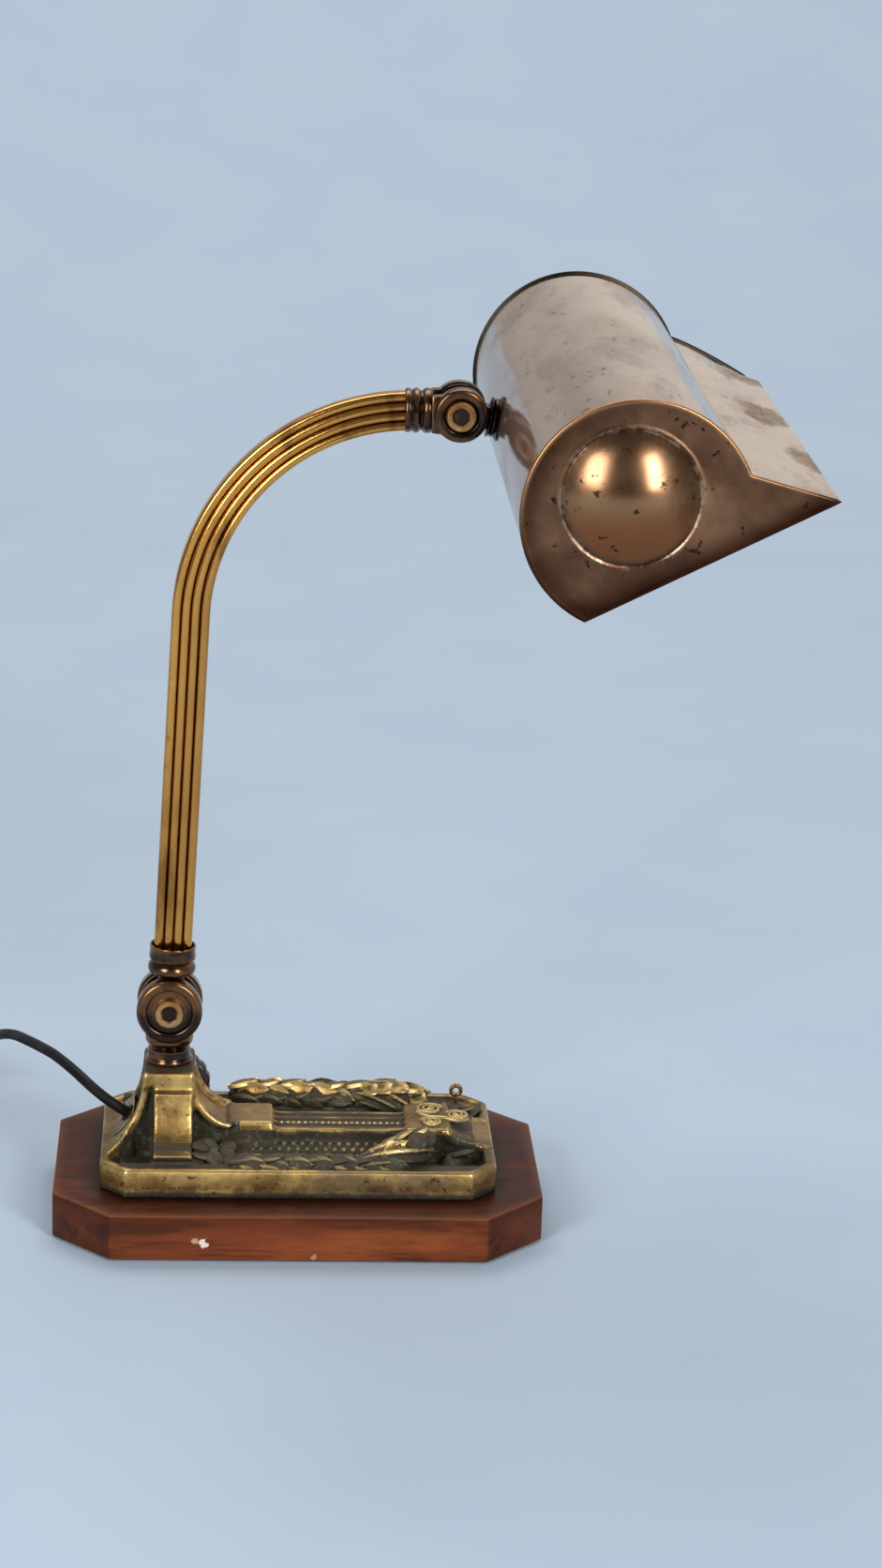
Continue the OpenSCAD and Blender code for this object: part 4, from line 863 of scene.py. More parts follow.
# The pedestal's core, raised edges, slope of the left foot, top plate and the step under it
CORE_Y, CORE_IN, CORE_DOWN = (-11.5, 13.5), 2.2, 1.1
EDGES_Y, EDGE_WIDE, EDGE_DEEP = ((-14.2, -11), (11, 14)), 2.6, 1.8
FOOT_FROM, FOOT_TO, FOOT_HALF, FOOT_TAPER = CAST_LOW.x + 0.4, PED_X - 13.5, 31, 17
PLATE_Y, PLATE_DEEP = (-15.2, 15), 5.8
UNDER_Y, UNDER_HALF = (-12.6, 13), 9.4

# The strap's section and sides, the bar's flutes, the falls and sides of the bridge and its lips
STRAP_BACK, STRAP_FRONT, STRAP_FOOT, STRAP_HEAD = -10, -32, 32.6, PED_TOP - 7.2
STRAP_X = (PED_X - 5.5, PED_X + 9.5)
FLUTE_MIDS, FLUTE_TOP, FLUTE_LOW, FLUTE_FALL = (5.9, 0.6, -4.7), 1.7, 1.2, 1.6
BRIDGE_FLAT, BRIDGE_FALL, BRIDGE_Y = 59.5, 6.5, (-14, 14)
LIP_FLAT, LIP_FALL, LIPS_Y = 58.5, 6.6, ((-15, -12), (12, 15))

# The casting's skin. Pebbles: how fine and how high, coarse and fine ones. Scales: where they start
# along the slopes, fade in and fade out, and the same across. Then the side of the block, the
# notched ridge on the bar, and the unevenness of all the rest
PEBBLES, BLOCK_PEBBLES = ((260, 0.55), (620, 0.3)), 1.3
SCALES_FROM, SCALES_IN, SCALES_OUT = -24, (-22, -17), (38, 31)
SCALES_NEAR, SCALES_FAR = (BAR_HALF + 0.6, BAR_HALF + 2), (TROUGH_OUT, 27.5)
SCALE_WIDE, SCALE_DEEP, SCALE_TALL, SCALE_SUNK = 3.6, 3.7, 2.1, 0.4
FLOOR_END = 66
SIDE_TOP, SIDE_X, SIDE_Y = PED_TOP - 7, (PED_X + 10, PED_X + 27), (-13, -10)
RIDGE_END, RIDGE_Y, RIDGE_TALL, RIDGE_APART = 42, (-3.2, -1.0), 0.18, 2.3
SKIN_TALL, SKIN_FINE = 0.12, 180


class LAMP_OT_tray(bpy.types.Operator):
    """Casts the tray: rim, pedestal, strap, fluted bar and bridge as one skin."""

    bl_idname = "lamp.tray"
    bl_label = "Tray casting"

    def execute(self, context):
        bm = bmesh.new()
        self.rim(bm)
        self.pedestal(bm)
        self.strap(bm)
        self.bar(bm)
        self.bridge(bm)
        piece = finish_piece("tray_casting", bm, "cast_brass_patina", BASE, "base_casting", 180)
        one_skin = piece.modifiers.new("one_skin", "REMESH")
        one_skin.mode = "VOXEL"
        one_skin.voxel_size = sizes().cast_grain
        shape = piece.evaluated_get(context.evaluated_depsgraph_get())
        made = bpy.data.meshes.new_from_object(shape)
        piece.modifiers.clear()
        solids, piece.data = piece.data, made
        bpy.data.meshes.remove(solids)
        made.name = "tray_casting"
        self.soften(made)
        return {"FINISHED"}

    def rim(self, bm):
        """The tray with its rolled rim, and the ledges that the garlands lie on."""
        size = CAST_HIGH - CAST_LOW
        rows = []
        for in_by, height in RIM:
            outline = octagon(size.x - 2 * in_by, size.y - 2 * in_by, RIM_CUT - CUT_SHRINK * in_by)
            rows.append([bm.verts.new((x, y, PLINTH_TOP + height)) for x, y in outline])
        skin(bm, rows, ends=True)
        for side in (-1, 1):
            low, high = sorted((side * LEDGE_IN, side * LEDGE_OUT))
            prism(bm, block((-LEDGE_END, low), (LEDGE_END, high)), "Z", SUNK_Z, LEDGE_Z)

    def pedestal(self, bm):
        """The pedestal's core, its raised edges, the slope of its left foot and its stepped top."""
        core = [(CAST_LOW.x + CORE_IN, PLINTH_TOP)]
        core += [(x + CORE_IN, z - CORE_DOWN) for x, z in LEFT_FLANK]
        core += [(x - CORE_IN, z - CORE_DOWN) for x, z in RIGHT_FLANK]
        core.append((PED_END - CORE_IN, PLINTH_TOP))
        prism(bm, core, "Y", *CORE_Y)
        for low, high in EDGES_Y:
            for flank, way in ((LEFT_FLANK, 1), (RIGHT_FLANK, -1)):
                inner = [(x + way * EDGE_WIDE, z - EDGE_DEEP) for x, z in flank]
                prism(bm, flank + inner[::-1], "Y", low, high)
        slope = []
        for x, z in LEFT_FLANK:
            if x < FOOT_TO + 0.5:
                half = FOOT_HALF - FOOT_TAPER * (x - FOOT_FROM) / (FOOT_TO - FOOT_FROM)
                slope.append((x, half, z))
        for (x0, y0, z0), (x1, y1, z1) in zip(slope, slope[1:]):
            corners = [(x0, -y0, z0), (x1, -y1, z1), (x1, y1, z1), (x0, y0, z0)]
            top = [bm.verts.new(c) for c in corners]
            skin(bm, [[bm.verts.new((x, y, SUNK_Z)) for x, y, z in corners], top], ends=True)
        plate = block((PED_X - PED_HALF, PED_TOP - PLATE_DEEP), (PED_X + PED_HALF, PED_TOP))
        prism(bm, plate, "Y", *PLATE_Y)
        under = block((PED_X - UNDER_HALF, PED_TOP - 8), (PED_X + UNDER_HALF, PED_TOP - 4))
        prism(bm, under, "Y", *UNDER_Y)

    def strap(self, bm):
        """The hollow strap down the pedestal's front."""
        top = [(STRAP_BACK, FLOOR_Z - 1), (STRAP_BACK, STRAP_HEAD), (STRAP_FRONT + 14, STRAP_HEAD)]
        start = STRAP_HEAD - 0.4
        curve = quarter((STRAP_FRONT, start), 14, STRAP_FOOT - start, 0, 90)
        toe = [(-33.4, 32.4), (-33.4, 30.8), (STRAP_FRONT, 30.4), (STRAP_FRONT, FLOOR_Z - 1)]
        prism(bm, top + curve + toe, "X", *STRAP_X)

    def bar(self, bm):
        """The block beside the pedestal, the bar with its flutes, and the slopes beside it."""
        end = PED_END + BLOCK_LONG
        prism(bm, block((PED_END - 2, -BLOCK_HALF), (end, BLOCK_HALF)), "Z", SUNK_Z, BLOCK_Z)
        collar = block((end - 4, -BLOCK_HALF - 0.6), (end + 0.4, BLOCK_HALF + 0.6))
        prism(bm, collar, "Z", SUNK_Z, BAR_Z + 0.6)
        crest = [(-BAR_HALF, SUNK_Z), (BAR_HALF, SUNK_Z), (BAR_HALF, BAR_Z)]
        for mid in FLUTE_MIDS:
            crest += [(mid + FLUTE_TOP, BAR_Z), (mid + FLUTE_LOW, BAR_Z - FLUTE_FALL)]
            crest += [(mid - FLUTE_LOW, BAR_Z - FLUTE_FALL), (mid - FLUTE_TOP, BAR_Z)]
        prism(bm, crest + [(-BAR_HALF, BAR_Z)], "X", end - 1, BAR_END)
        slope = [(SLOPE_OUT, FLOOR_Z - 1), (SLOPE_OUT, FLOOR_Z), (BAR_HALF, SLOPE_Z)]
        slope = [(-SLOPE_OUT, FLOOR_Z - 1), *slope, (-BAR_HALF, SLOPE_Z), (-SLOPE_OUT, FLOOR_Z)]
        prism(bm, slope, "X", PED_END, BAR_END)

    def bridge(self, bm):
        """The bridge at the right end, falling to the rim, and its two lips."""
        curve = quarter((BRIDGE_END, BRIDGE_Z), BRIDGE_FLAT - BRIDGE_END, -BRIDGE_FALL, 0, 90)
        bridge = [(BRIDGE_FROM, SUNK_Z), (BRIDGE_FROM, BRIDGE_Z), *curve, (BRIDGE_END, SUNK_Z)]
        prism(bm, bridge, "Y", *BRIDGE_Y)
        lip = quarter((BRIDGE_END, BRIDGE_Z + 0.6), LIP_FLAT - BRIDGE_END, -LIP_FALL, 0, 90)
        for low, high in LIPS_Y:
            prism(bm, lip + [(x - 1.5, z - 2.4) for x, z in lip[::-1]], "Y", low, high)

    def soften(self, mesh):
        """Rounds the cast edges and raises the scales and pebbling of the trough floors."""
        bm = bmesh.new()
        bm.from_mesh(mesh)
        for _ in range(2):
            bmesh.ops.smooth_vert(
                bm, verts=bm.verts, factor=0.5, use_axis_x=True, use_axis_y=True, use_axis_z=True
            )
        for v in bm.verts:
            x, y, z = v.co / MM
            out = abs(y)
            fall = min(max((out - BAR_HALF) / (SLOPE_OUT - BAR_HALF), 0.0), 1.0)
            slope = SLOPE_Z + (FLOOR_Z - SLOPE_Z) * fall
            pebble = sum(noise.noise(v.co * fine) * tall for fine, tall in PEBBLES)
            on_slope = SCALES_NEAR[0] < out < TROUGH_OUT and abs(z - slope) < 1.0
            # The scaled slopes, the floor, the block's side, the ridge on the bar, all the rest
            if SCALES_FROM < x < BAR_END and on_slope:
                inside = step(*SCALES_FAR, out) * step(*SCALES_NEAR, out)
                scaled = inside * step(*SCALES_IN, x) * step(*SCALES_OUT, x)
                v.co.z += MM * (scaled * self.scale(x, out - BAR_HALF) + (inside - scaled) * pebble)
            elif abs(z - FLOOR_Z) < 0.9 and abs(x) < FLOOR_END and out < TROUGH_OUT:
                v.co.z += MM * pebble
            elif z < SIDE_TOP and SIDE_X[0] < x < SIDE_X[1] and SIDE_Y[0] < y < SIDE_Y[1]:
                v.co.y += MM * BLOCK_PEBBLES * pebble
            elif (
                abs(z - BAR_Z) < 0.5
                and PED_END + BLOCK_LONG < x < RIDGE_END
                and RIDGE_Y[0] < y < RIDGE_Y[1]
            ):
                v.co.z += MM * RIDGE_TALL * math.sin(x * 2 * math.pi / RIDGE_APART)
            else:
                v.co += v.normal * MM * SKIN_TALL * noise.noise(v.co * SKIN_FINE)
        bm.to_mesh(mesh)
        bm.free()
        mesh.shade_smooth()
        if not mesh.materials:
            mesh.materials.append(bpy.data.materials["cast_brass_patina"])

    def scale(self, x, out):
        """Height of the round scales, laid in rows that are half a scale apart."""
        row = out / SCALE_DEEP
        u = (x / SCALE_WIDE + 0.5 * (math.floor(row) % 2)) % 1 - 0.5
        w = row % 1 - 0.45
        return SCALE_TALL * max(0.0, 1 - 3.4 * (u * u + 0.9 * w * w)) - SCALE_SUNK


# A leaf's rows along and points across, its rib, dome and lift, and its keel below
LEAF_ROWS, LEAF_ACROSS = 7, (-1.0, -0.5, 0.0, 0.5, 1.0)
LEAF_RIB, LEAF_DOME, LEAF_LIFT = 0.12, 0.2, 0.10
KEEL_DEEP, KEEL_AT, KEEL_OF_ROW = 0.9, (0.2, 1.2, 2.4), (0, 0, 1, 1, 1, 2, 2, 2)


def leaf(bm, at, along, out, long, wide, curl):
    """A laurel leaf: a pointed, domed blade with a rib, its tip lifting from what it lies on."""
    root = bm.verts.layers.float["root"]
    along = along.normalized()
    out = (out - along * out.dot(along)).normalized()
    side = along.cross(out)
    rows = []
    for i in range(LEAF_ROWS + 1):
        f = i / LEAF_ROWS
        half = 0.0
        if i < LEAF_ROWS:
            half = wide / 2 * math.sin(math.pi * min(f * 0.93 + 0.07, 1.0)) ** 0.75
        lift = long * (LEAF_LIFT * math.sin(math.pi * f) + curl * 0.5 * f * f)
        row = []
        for u in LEAF_ACROSS:
            rib = LEAF_RIB if u == 0 else 0.0
            dome = wide * (LEAF_DOME * (1 - u * u) - rib * (1 - f))
            up = lift + dome * (1 - 0.6 * f)
            row.append(bm.verts.new(at + along * (long * f) + side * (half * u) + out * up))
            row[-1][root] = 0.5 * (1 - f) ** 1.2 + 0.2 * u * u + rib
        rows.append(row)
    strip(bm, rows)
    keel = [bm.verts.new(at + along * (long * f / 3) - out * KEEL_DEEP) for f in KEEL_AT]
    spine = [keel[i] for i in KEEL_OF_ROW]
    for k in (0, len(LEAF_ACROSS) - 1):
        for i in range(LEAF_ROWS):
            patch(bm, (rows[i][k], rows[i + 1][k], spine[i + 1], spine[i]))


# Garlands: the roll under the leaves, and a ring of leaves as turns round it and shifts along it
LEDGE_MID = 34.3
ROLL_FROM, ROLL_TO = PED_X + 28, 31.0
LEAF_SEED, LEAF_RINGS, LEAF_CURL = 5, 7, 0.42
RING = ((90, 0.0), (28, 3.6), (152, 3.6), (-20, 0.6), (200, 0.6))

# Loose leaves by the pedestal: place along, across from the ledge and up, turn, length
LOOSE_LEAVES = (
    (-29, 5.5, 2.5, 150, 11), (-33, 9.5, 3.5, 200, 10), (-25, 8, 2.0, 130, 10),
    (-37, 5, 2.0, 175, 10), (-31, 12.5, 5.0, 160, 10), (-26, 13, 3.5, 110, 9),
    (-35, 13, 6.0, 220, 9),
)
LOOSE_LUMPS = ((-31, 8, 4.5, 6.0), (-27, 12, 3.0, 5.0), (-35, 12, 6.0, 5.5))

# The big leaf: its ends, its bow, and its lobes by number, depth and twist; then its blades: place
# along it, turn round it, length
BIG_LEAF_R, BIG_LEAF_STEPS, BIG_LEAF_SIDES, BIG_LEAF_FLAT = 5.0, 24, 54, 0.95
BIG_LEAF_FROM, BIG_LEAF_TO, BIG_LEAF_BOW = (23, 0.4, -0.4), (51.5, 20.5, 4.0), (0.8, 1.8, 1.2)
BIG_LEAF_LOBES = (9, 0.13, 0.055)
BLADE_WIDE, BLADE_CURL, BLADE_SINK = 7.4, 0.16, 0.9
BLADES = (
    (0.16, 120, 9), (0.34, 118, 10), (0.52, 112, 11), (0.7, 100, 10), (0.3, 60, 10), (0.58, 55, 11),
    (0.8, 60, 8), (0.1, 60, 9), (0.84, 130, 8),
)

# Volutes on the bridge: middle, radius, way round, drop; then the band that joins them
VOLUTES = ((52.3, 6.5, 5.4, 1, 0.0), (63.0, 3.0, 4.6, -1, 1.1), (52.3, -7, 4.2, -1, 0.0))
VOLUTE_TURN, VOLUTE_STEPS, VOLUTE_Z = 4.4 * math.pi, 39, PLINTH_TOP + 18.2
VOLUTE_WIRE, VOLUTE_EYE = 0.95, ((0, 0.9), (0.9, 0.75), (1.35, 0.0), (1.3, -1.2))
BAND = ((47.2, 3.5, 0), (51, -1.2, 0), (57.5, -2.6, 0), (63.2, -1.6, -1.3), (67.6, 2.2, -2.6))
BAND_R = 1.0

# Leaves and lumps beside the bridge: place and turn; then a leaf's size and a lump's profile
BRIDGE_LEAVES = (
    (57, 20, 20), (62, 23, -15), (47, 20, 160), (44, 26, 10), (52, 25, -20), (66.5, 18, 40),
    (60, -21, -30),
)
BRIDGE_LUMPS = ((55, 22), (63, 21), (47, 24), (61, -20.5))
BRIDGE_LEAF_UP, BRIDGE_LEAF = 5.0, (10.5, 7, 0.45)
BRIDGE_LUMP = ((0, 6.2), (2.6, 5.4), (4.6, 2.6), (5.2, -0.5))

# The screw eye: its ring, and the shank below it
EYE_DOWN, EYE_R, EYE_WIRE, EYE_STEPS = 2.75, 2.0, 0.85, 28
SHANK_R = 0.75
SHANK = ((0, -0.9), (1.0, -1.2), (1.0, -2.6), (1.5, -3.0), (1.5, -3.7), (SHANK_R, -3.8))


class LAMP_OT_carving(bpy.types.Operator):
    """Lays the leaf garlands and the scrolls on the tray."""

    bl_idname = "lamp.carving"
    bl_label = "Garlands and scrolls"

    def execute(self, context):
        front = self.garland("front_leaves", "front_garland", -1, LEDGE_Z + 0.4, 2.4)
        rear = self.garland("rear_leaves", "rear_garland", 1, LEDGE_Z + 3.6, 3.4)
        self.screw_eye()
        carved = [front, rear, self.scrolls()]
        tray = bpy.data.objects["tray_casting"]
        weather([tray, *carved], 12, [bpy.data.objects["plinth_block"]])
        for piece in carved:
            roots = [0.0] * len(piece.data.vertices)
            piece.data.attributes["root"].data.foreach_get("value", roots)
            self.soil(piece.data, roots, self.carving_dirt)
        self.soil(tray.data, [0.0] * len(tray.data.vertices), self.tray_dirt)
        return {"FINISHED"}

    def soil(self, mesh, roots, dirt):
        """Deepens the recess mask by the dirt of years: a gain in the hollows, a haze over all."""
        shut = mesh.attributes["recess"].data
        for v, root in zip(mesh.vertices, roots):
            gain, haze = dirt(v.co, root)
            shut[v.index].value = min(shut[v.index].value * gain + haze, 1.0)

    def low_haze(self, at):
        """Dirt that thickens towards the trough floors, with clouds in it."""
        return 0.2 + 0.3 * step(LEDGE_Z + 4, FLOOR_Z + 1, at.z / MM) + 0.22 * noise.noise(at * 90)

    def in_tray(self, x, y, z):
        """Whether a point lies within the tray's ledges and below the top of its bar."""
        return abs(y) < LEDGE_OUT and -LEDGE_END < x < LEDGE_END and z < BAR_Z

    def carving_dirt(self, at, root):
        """Gain and haze on the leaves: more at roots, on the front garland and on its big leaf."""
        x, y, z = at / MM
        if not self.in_tray(x, y, z):
            return 1.0, 0.0
        front = 0.14 + 0.2 * step(23, 32, x) if y < -12 else 0.0
        return 1.15, self.low_haze(at) + front + root

    def tray_dirt(self, at, root):
        """Gain and haze on the casting: the troughs, the pedestal's top and its front."""
        x, y, z = at / MM
        if self.in_tray(x, y, z) and (x > PED_X + 12 or abs(y) > 15):
            trough = 0.18 if BAR_HALF + 0.5 < abs(y) < TROUGH_OUT else 0.0
            return 1.15, self.low_haze(at) + trough + root
        if z > PED_TOP - 1.4:
            return 1.0, 0.42 * step(14.6, 12, abs(y))
        front = -13.0 < y < -9 and z < PED_TOP - 6 and PED_X - 21 < x < PED_X + 28
        return 1.0, 0.4 if front else 0.0

    def garland(self, name, node, side, z, roll):
        """Rings of leaves along a roll, loose ones by the pedestal, a big one at the right end."""
        bm = bmesh.new()
        bm.verts.layers.float.new("root")
        y = side * LEDGE_MID
        self.stand(bm, side, z)
        run = ROLL_TO - ROLL_FROM
        tube(bm, [Vector((ROLL_FROM + run * i / 10, y, z)) for i in range(11)], roll, 12)
        long, wide = sizes().leaf_length / MM, sizes().leaf_width / MM
        noise.seed_set(LEAF_SEED)
        for i in range(LEAF_RINGS):
            x = ROLL_FROM - 5 + run * i / (LEAF_RINGS - 1)
            for turn, shift in RING:
                chance = noise.noise_vector(Vector((i * 1.7, turn * 0.05, side * 3.0)))
                a = math.radians(turn + 9 * chance.x)
                out = Vector((0, -side * math.cos(a), math.sin(a)))
                round_way = Vector((0, side * math.sin(a), math.cos(a)))
                at = Vector((x + shift + 1.2 * chance.y, y, z)) + out * (roll - 0.6)
                along = Vector((1, 0, 0)) + 0.35 * chance.y * round_way
                size = 1.0 + 0.16 * chance.z
                leaf(bm, at, along, out, long * size, wide * size, LEAF_CURL)
        self.big_leaf(bm, side, y, z)
        for x, dy, up, turn, long in LOOSE_LEAVES:
            a = math.radians(turn)
            at = Vector((x, y - side * dy, FLOOR_Z + up + 2))
            along = Vector((math.cos(a), -side * math.sin(a), 0.15))
            leaf(bm, at, along, Vector((0, side * 0.4, 1)), long, 7, 0.25)
        return finish_piece(name, bm, "cast_brass_patina", BASE, node, 50)

    def stand(self, bm, side, z):
        """What the garland grows from: lumps by the pedestal, and a back wall under the roll."""
        for x, dy, up, wide in LOOSE_LUMPS:
            lump = [(0, up + 1.5), (wide * 0.5, up + 0.8), (wide * 0.9, up * 0.5), (wide, -0.5)]
            lathe(bm, lump, (x, side * (LEDGE_MID - dy), FLOOR_Z), UP, 20)
        low, high = sorted((side * 33.0, side * 36.4))
        prism(bm, block((ROLL_FROM, low), (ROLL_TO, high)), "Z", LEDGE_Z - 0.5, z, 0.4)

    def big_leaf(self, bm, side, y, z):
        """The big lobed leaf that rolls in from the garland's right end towards the bridge."""
        x, out, up = BIG_LEAF_FROM
        first = Vector((x, y + side * out, z + up))
        x, out, up = BIG_LEAF_TO
        last = Vector((x, side * out, LEDGE_Z + up))
        x, out, up = BIG_LEAF_BOW
        path, taper = [], []
        for i in range(BIG_LEAF_STEPS + 1):
            f = i / BIG_LEAF_STEPS
            bow = math.sin(math.pi * f)
            path.append(first.lerp(last, f) + Vector((x * bow, side * out * bow, up * bow)))
            swell = 0.55 + 0.75 * math.sin(math.pi * (0.1 + 0.72 * f))
            taper.append(swell * (1 - 0.5 * step(0.9, 1.0, f)))
        tube(bm, path, BIG_LEAF_R, BIG_LEAF_SIDES, BIG_LEAF_FLAT, taper, *BIG_LEAF_LOBES)
        across = (last - first).normalized()
        right = across.cross(UP).normalized() * (1 if side < 0 else -1)
        for f, turn, long in BLADES:
            a, i = math.radians(turn), round(BIG_LEAF_STEPS * f)
            out = right * math.cos(a) + UP * math.sin(a)
            at = path[i] + out * (BIG_LEAF_R * taper[i] - BLADE_SINK)
            along = across + 0.3 * right * math.cos(a + 1.3)
            leaf(bm, at, along, out, long, BLADE_WIDE, BLADE_CURL)

    def scrolls(self):
        """Volutes on the bridge, a band between their eyes, and the leaves beside the bridge."""
        bm = bmesh.new()
        bm.verts.layers.float.new("root")
        for x, y, wide, way, drop in VOLUTES:
            path, taper = [], []
            for f in (i / VOLUTE_STEPS for i in range(VOLUTE_STEPS + 1)):
                a = way * f * VOLUTE_TURN + (0.3 if way > 0 else 2.8)
                r = wide * (1 - 0.8 * f)
                z = VOLUTE_Z - drop + 0.5 * f
                path.append(Vector((x + r * math.cos(a), y + r * math.sin(a), z)))
                taper.append(1.0 - 0.35 * f)
            tube(bm, path, VOLUTE_WIRE, 8, 1.0, taper)
            lathe(bm, VOLUTE_EYE, (x, y, VOLUTE_Z - drop), UP, 16)
        band = [Vector((x, y, VOLUTE_Z + up)) for x, y, up in BAND]
        tube(bm, smooth_path(band, 6), BAND_R, 8)
        for x, y, turn in BRIDGE_LEAVES:
            a = math.radians(turn)
            along = Vector((math.cos(a), math.sin(a), 0.2))
            leaf(bm, Vector((x, y, FLOOR_Z + BRIDGE_LEAF_UP)), along, UP, *BRIDGE_LEAF)
        for x, y in BRIDGE_LUMPS:
            lathe(bm, BRIDGE_LUMP, (x, y, FLOOR_Z), UP, 20)
        return finish_piece("bridge_scrolls", bm, "cast_brass_patina", BASE, None, 50)

    def screw_eye(self):
        """The small ring for a pull, screwed into the ledge."""
        low, high = node_corners("screw_eye")
        mid = Vector(((low.x + high.x) / 2, (low.y + high.y) / 2, high.z - EYE_DOWN))
        bm = bmesh.new()
        turns = [i * 2 * math.pi / EYE_STEPS for i in range(EYE_STEPS + 1)]
        ring = [mid + EYE_R * Vector((math.sin(a), 0, math.cos(a))) for a in turns]
        tube(bm, ring, EYE_WIRE, 10)
        foot = low.z - mid.z
        lathe(bm, [*SHANK, (SHANK_R, foot), (0, foot)], mid, UP, 20)
        finish_piece("screw_eye_ring", bm, "rubbed_bronze", BASE, "screw_eye", 50)


# Joints and arm

PIVOT_BORE = 3.05
LOWER_R, UPPER_R = 12.8, 10.2

# Profiles as radius and height; the cheek's and the disc's say how far in from the edge instead
CHEEK_IN, CHEEK_OUT = 5.0, 9.8
CHEEK = (
    (0.4, 5.0), (0.0, 5.5), (0.0, 9.5), (0.3, 10.4), (1.0, 10.95), (1.6, 11.0), (3.2, 11.0),
    (3.8, 10.7), (4.3, 9.7), (4.9, 9.8),
)
DISC_HALF = 4
DISC = (
    (0.5, -4), (0.0, -3.5), (0.0, -2.5), (0.7, -2.3), (3.8, -2.2), (3.8, 2.2), (0.7, 2.3),
    (0.0, 2.5), (0.0, 3.5), (0.5, 4),
)
BOLT_HEAD = ((0, 12.4), (3.99, 12.4), (5.2, 12.1), (5.7, 11.5), (5.7, 9.8), (0, 9.8))
BOLT_SHAFT = ((0, -9.8), (2.95, -9.8), (2.95, 11.8), (2.5, 11.4), (0, 11.4))
ROUND_NUT = (
    (PIVOT_BORE, 9.8), (5.5, 9.8), (5.7, 10.1), (5.7, 12.1), (5.3, 12.65), (4.6, 12.8), (3.6, 12.8),
    (PIVOT_BORE, 12.3),
)
LOWER_NECK = (
    (2.6, -12.7), (8.8, -12.7), (9.35, -13.1), (9.3, -14.2), (8.9, -15.2), (8.0, -16.1),
    (7.4, -16.7), (7.5, -17.1), (8.2, -17.6), (8.35, -18.3), (8.3, -20.6), (8.5, -21.1),
    (9.0, -21.6), (9.15, -22.2), (9.05, -23.0), (8.6, -23.5), (5.0, -23.5), (5.0, -30.0),
    (2.6, -30.0),
)
LOWER_COLLAR = (
    (0, 13.3), (7.4, 13.3), (8.5, 13.7), (9.25, 14.6), (9.35, 15.6), (9.2, 16.7), (8.5, 17.6),
    (8.1, 18.1), (8.25, 18.6), (9.0, 19.4), (9.15, 20.3), (8.9, 22.2), (8.85, 23.4), (9.05, 24.3),
    (8.9, 24.8), (8.3, 24.8), (7.9, 23.8), (7.7, 22.6), (0, 22.4),
)
UPPER_COLLAR = (
    (0, 10.1), (7.0, 10.1), (7.9, 10.5), (8.5, 11.4), (8.55, 12.6), (8.2, 13.6), (7.5, 14.2),
    (7.4, 14.7), (7.9, 15.2), (8.45, 15.9), (8.45, 17.0), (7.9, 17.7), (7.7, 18.1), (8.1, 18.5),
    (8.35, 19.2), (8.3, 20.2), (7.9, 20.7), (7.3, 20.6), (6.6, 19.2), (0, 19.2),
)
STEM_RINGS = (
    (0, 10.6), (6.6, 10.6), (7.3, 10.8), (7.6, 11.2), (7.5, 11.7), (6.9, 12.1), (5.5, 12.3),
    (4.0, 12.3), (4.0, 24.1), (0, 24.1),
)
# The rosette's last two rings lie on the shade, so they have no height of their own
ROSETTE = (
    (4.1, 12.3), (6.8, 12.3), (7.3, 12.6), (7.4, 13.0), (7.0, 13.4), (7.6, 14.1), (8.6, 15.0),
    (8.7, 15.4), (8.3, None), (4.1, None),
)
# The fork's webs, from the pivot
LOWER_WEB = ((-8, -13), (8, -13), (8.8, -6), (-8.8, -6))
UPPER_WEB = ((-11, -7), (-5, -7.6), (-5, 7.6), (-11, 7))

# Pieces that hands do not reach: how much more dirt they keep
SOILED = (("stem_turned", 0.6), ("rosette_turned", 0.6), ("upper_fork_turned", 0.36))


def fork(bm, at, radius, web, bevel):
    """Two dished cheeks of a fork, either side of the slot, and the webs that carry them."""
    for way in (-1, 1):
        edge = [(radius - i, h) for i, h in CHEEK]
        cheek = [(PIVOT_BORE, CHEEK_IN), *edge, (PIVOT_BORE, CHEEK_OUT)]
        lathe(bm, cheek, at, (0, way, 0), 64, True)
    for low, high in ((-9.2, -5), (5, 9.2)):
        prism(bm, [(at.x + x, at.z + z) for x, z in web], "Y", low, high, bevel)


def tongue(bm, radius, reach, web):
    """The disc between a fork's cheeks, hollowed on its edge, and the web that leads out of it."""
    edge = radius - 0.6
    disc = [(PIVOT_BORE, -DISC_HALF), *((edge - i, h) for i, h in DISC), (PIVOT_BORE, DISC_HALF)]
    lathe(bm, disc, (0, 0, 0), (0, 1, 0), 56, True)
    prism(bm, block((-web / 2, radius - 4), (web / 2, reach)), "Y", -3.9, 3.9, 0.6)


def turned_frame(at, axis):
    """Places a mesh made along +Z at a point, turned to an axis in the X-Z plane."""
    return Matrix.Translation(at) @ UP.rotation_difference(axis).to_matrix().to_4x4()


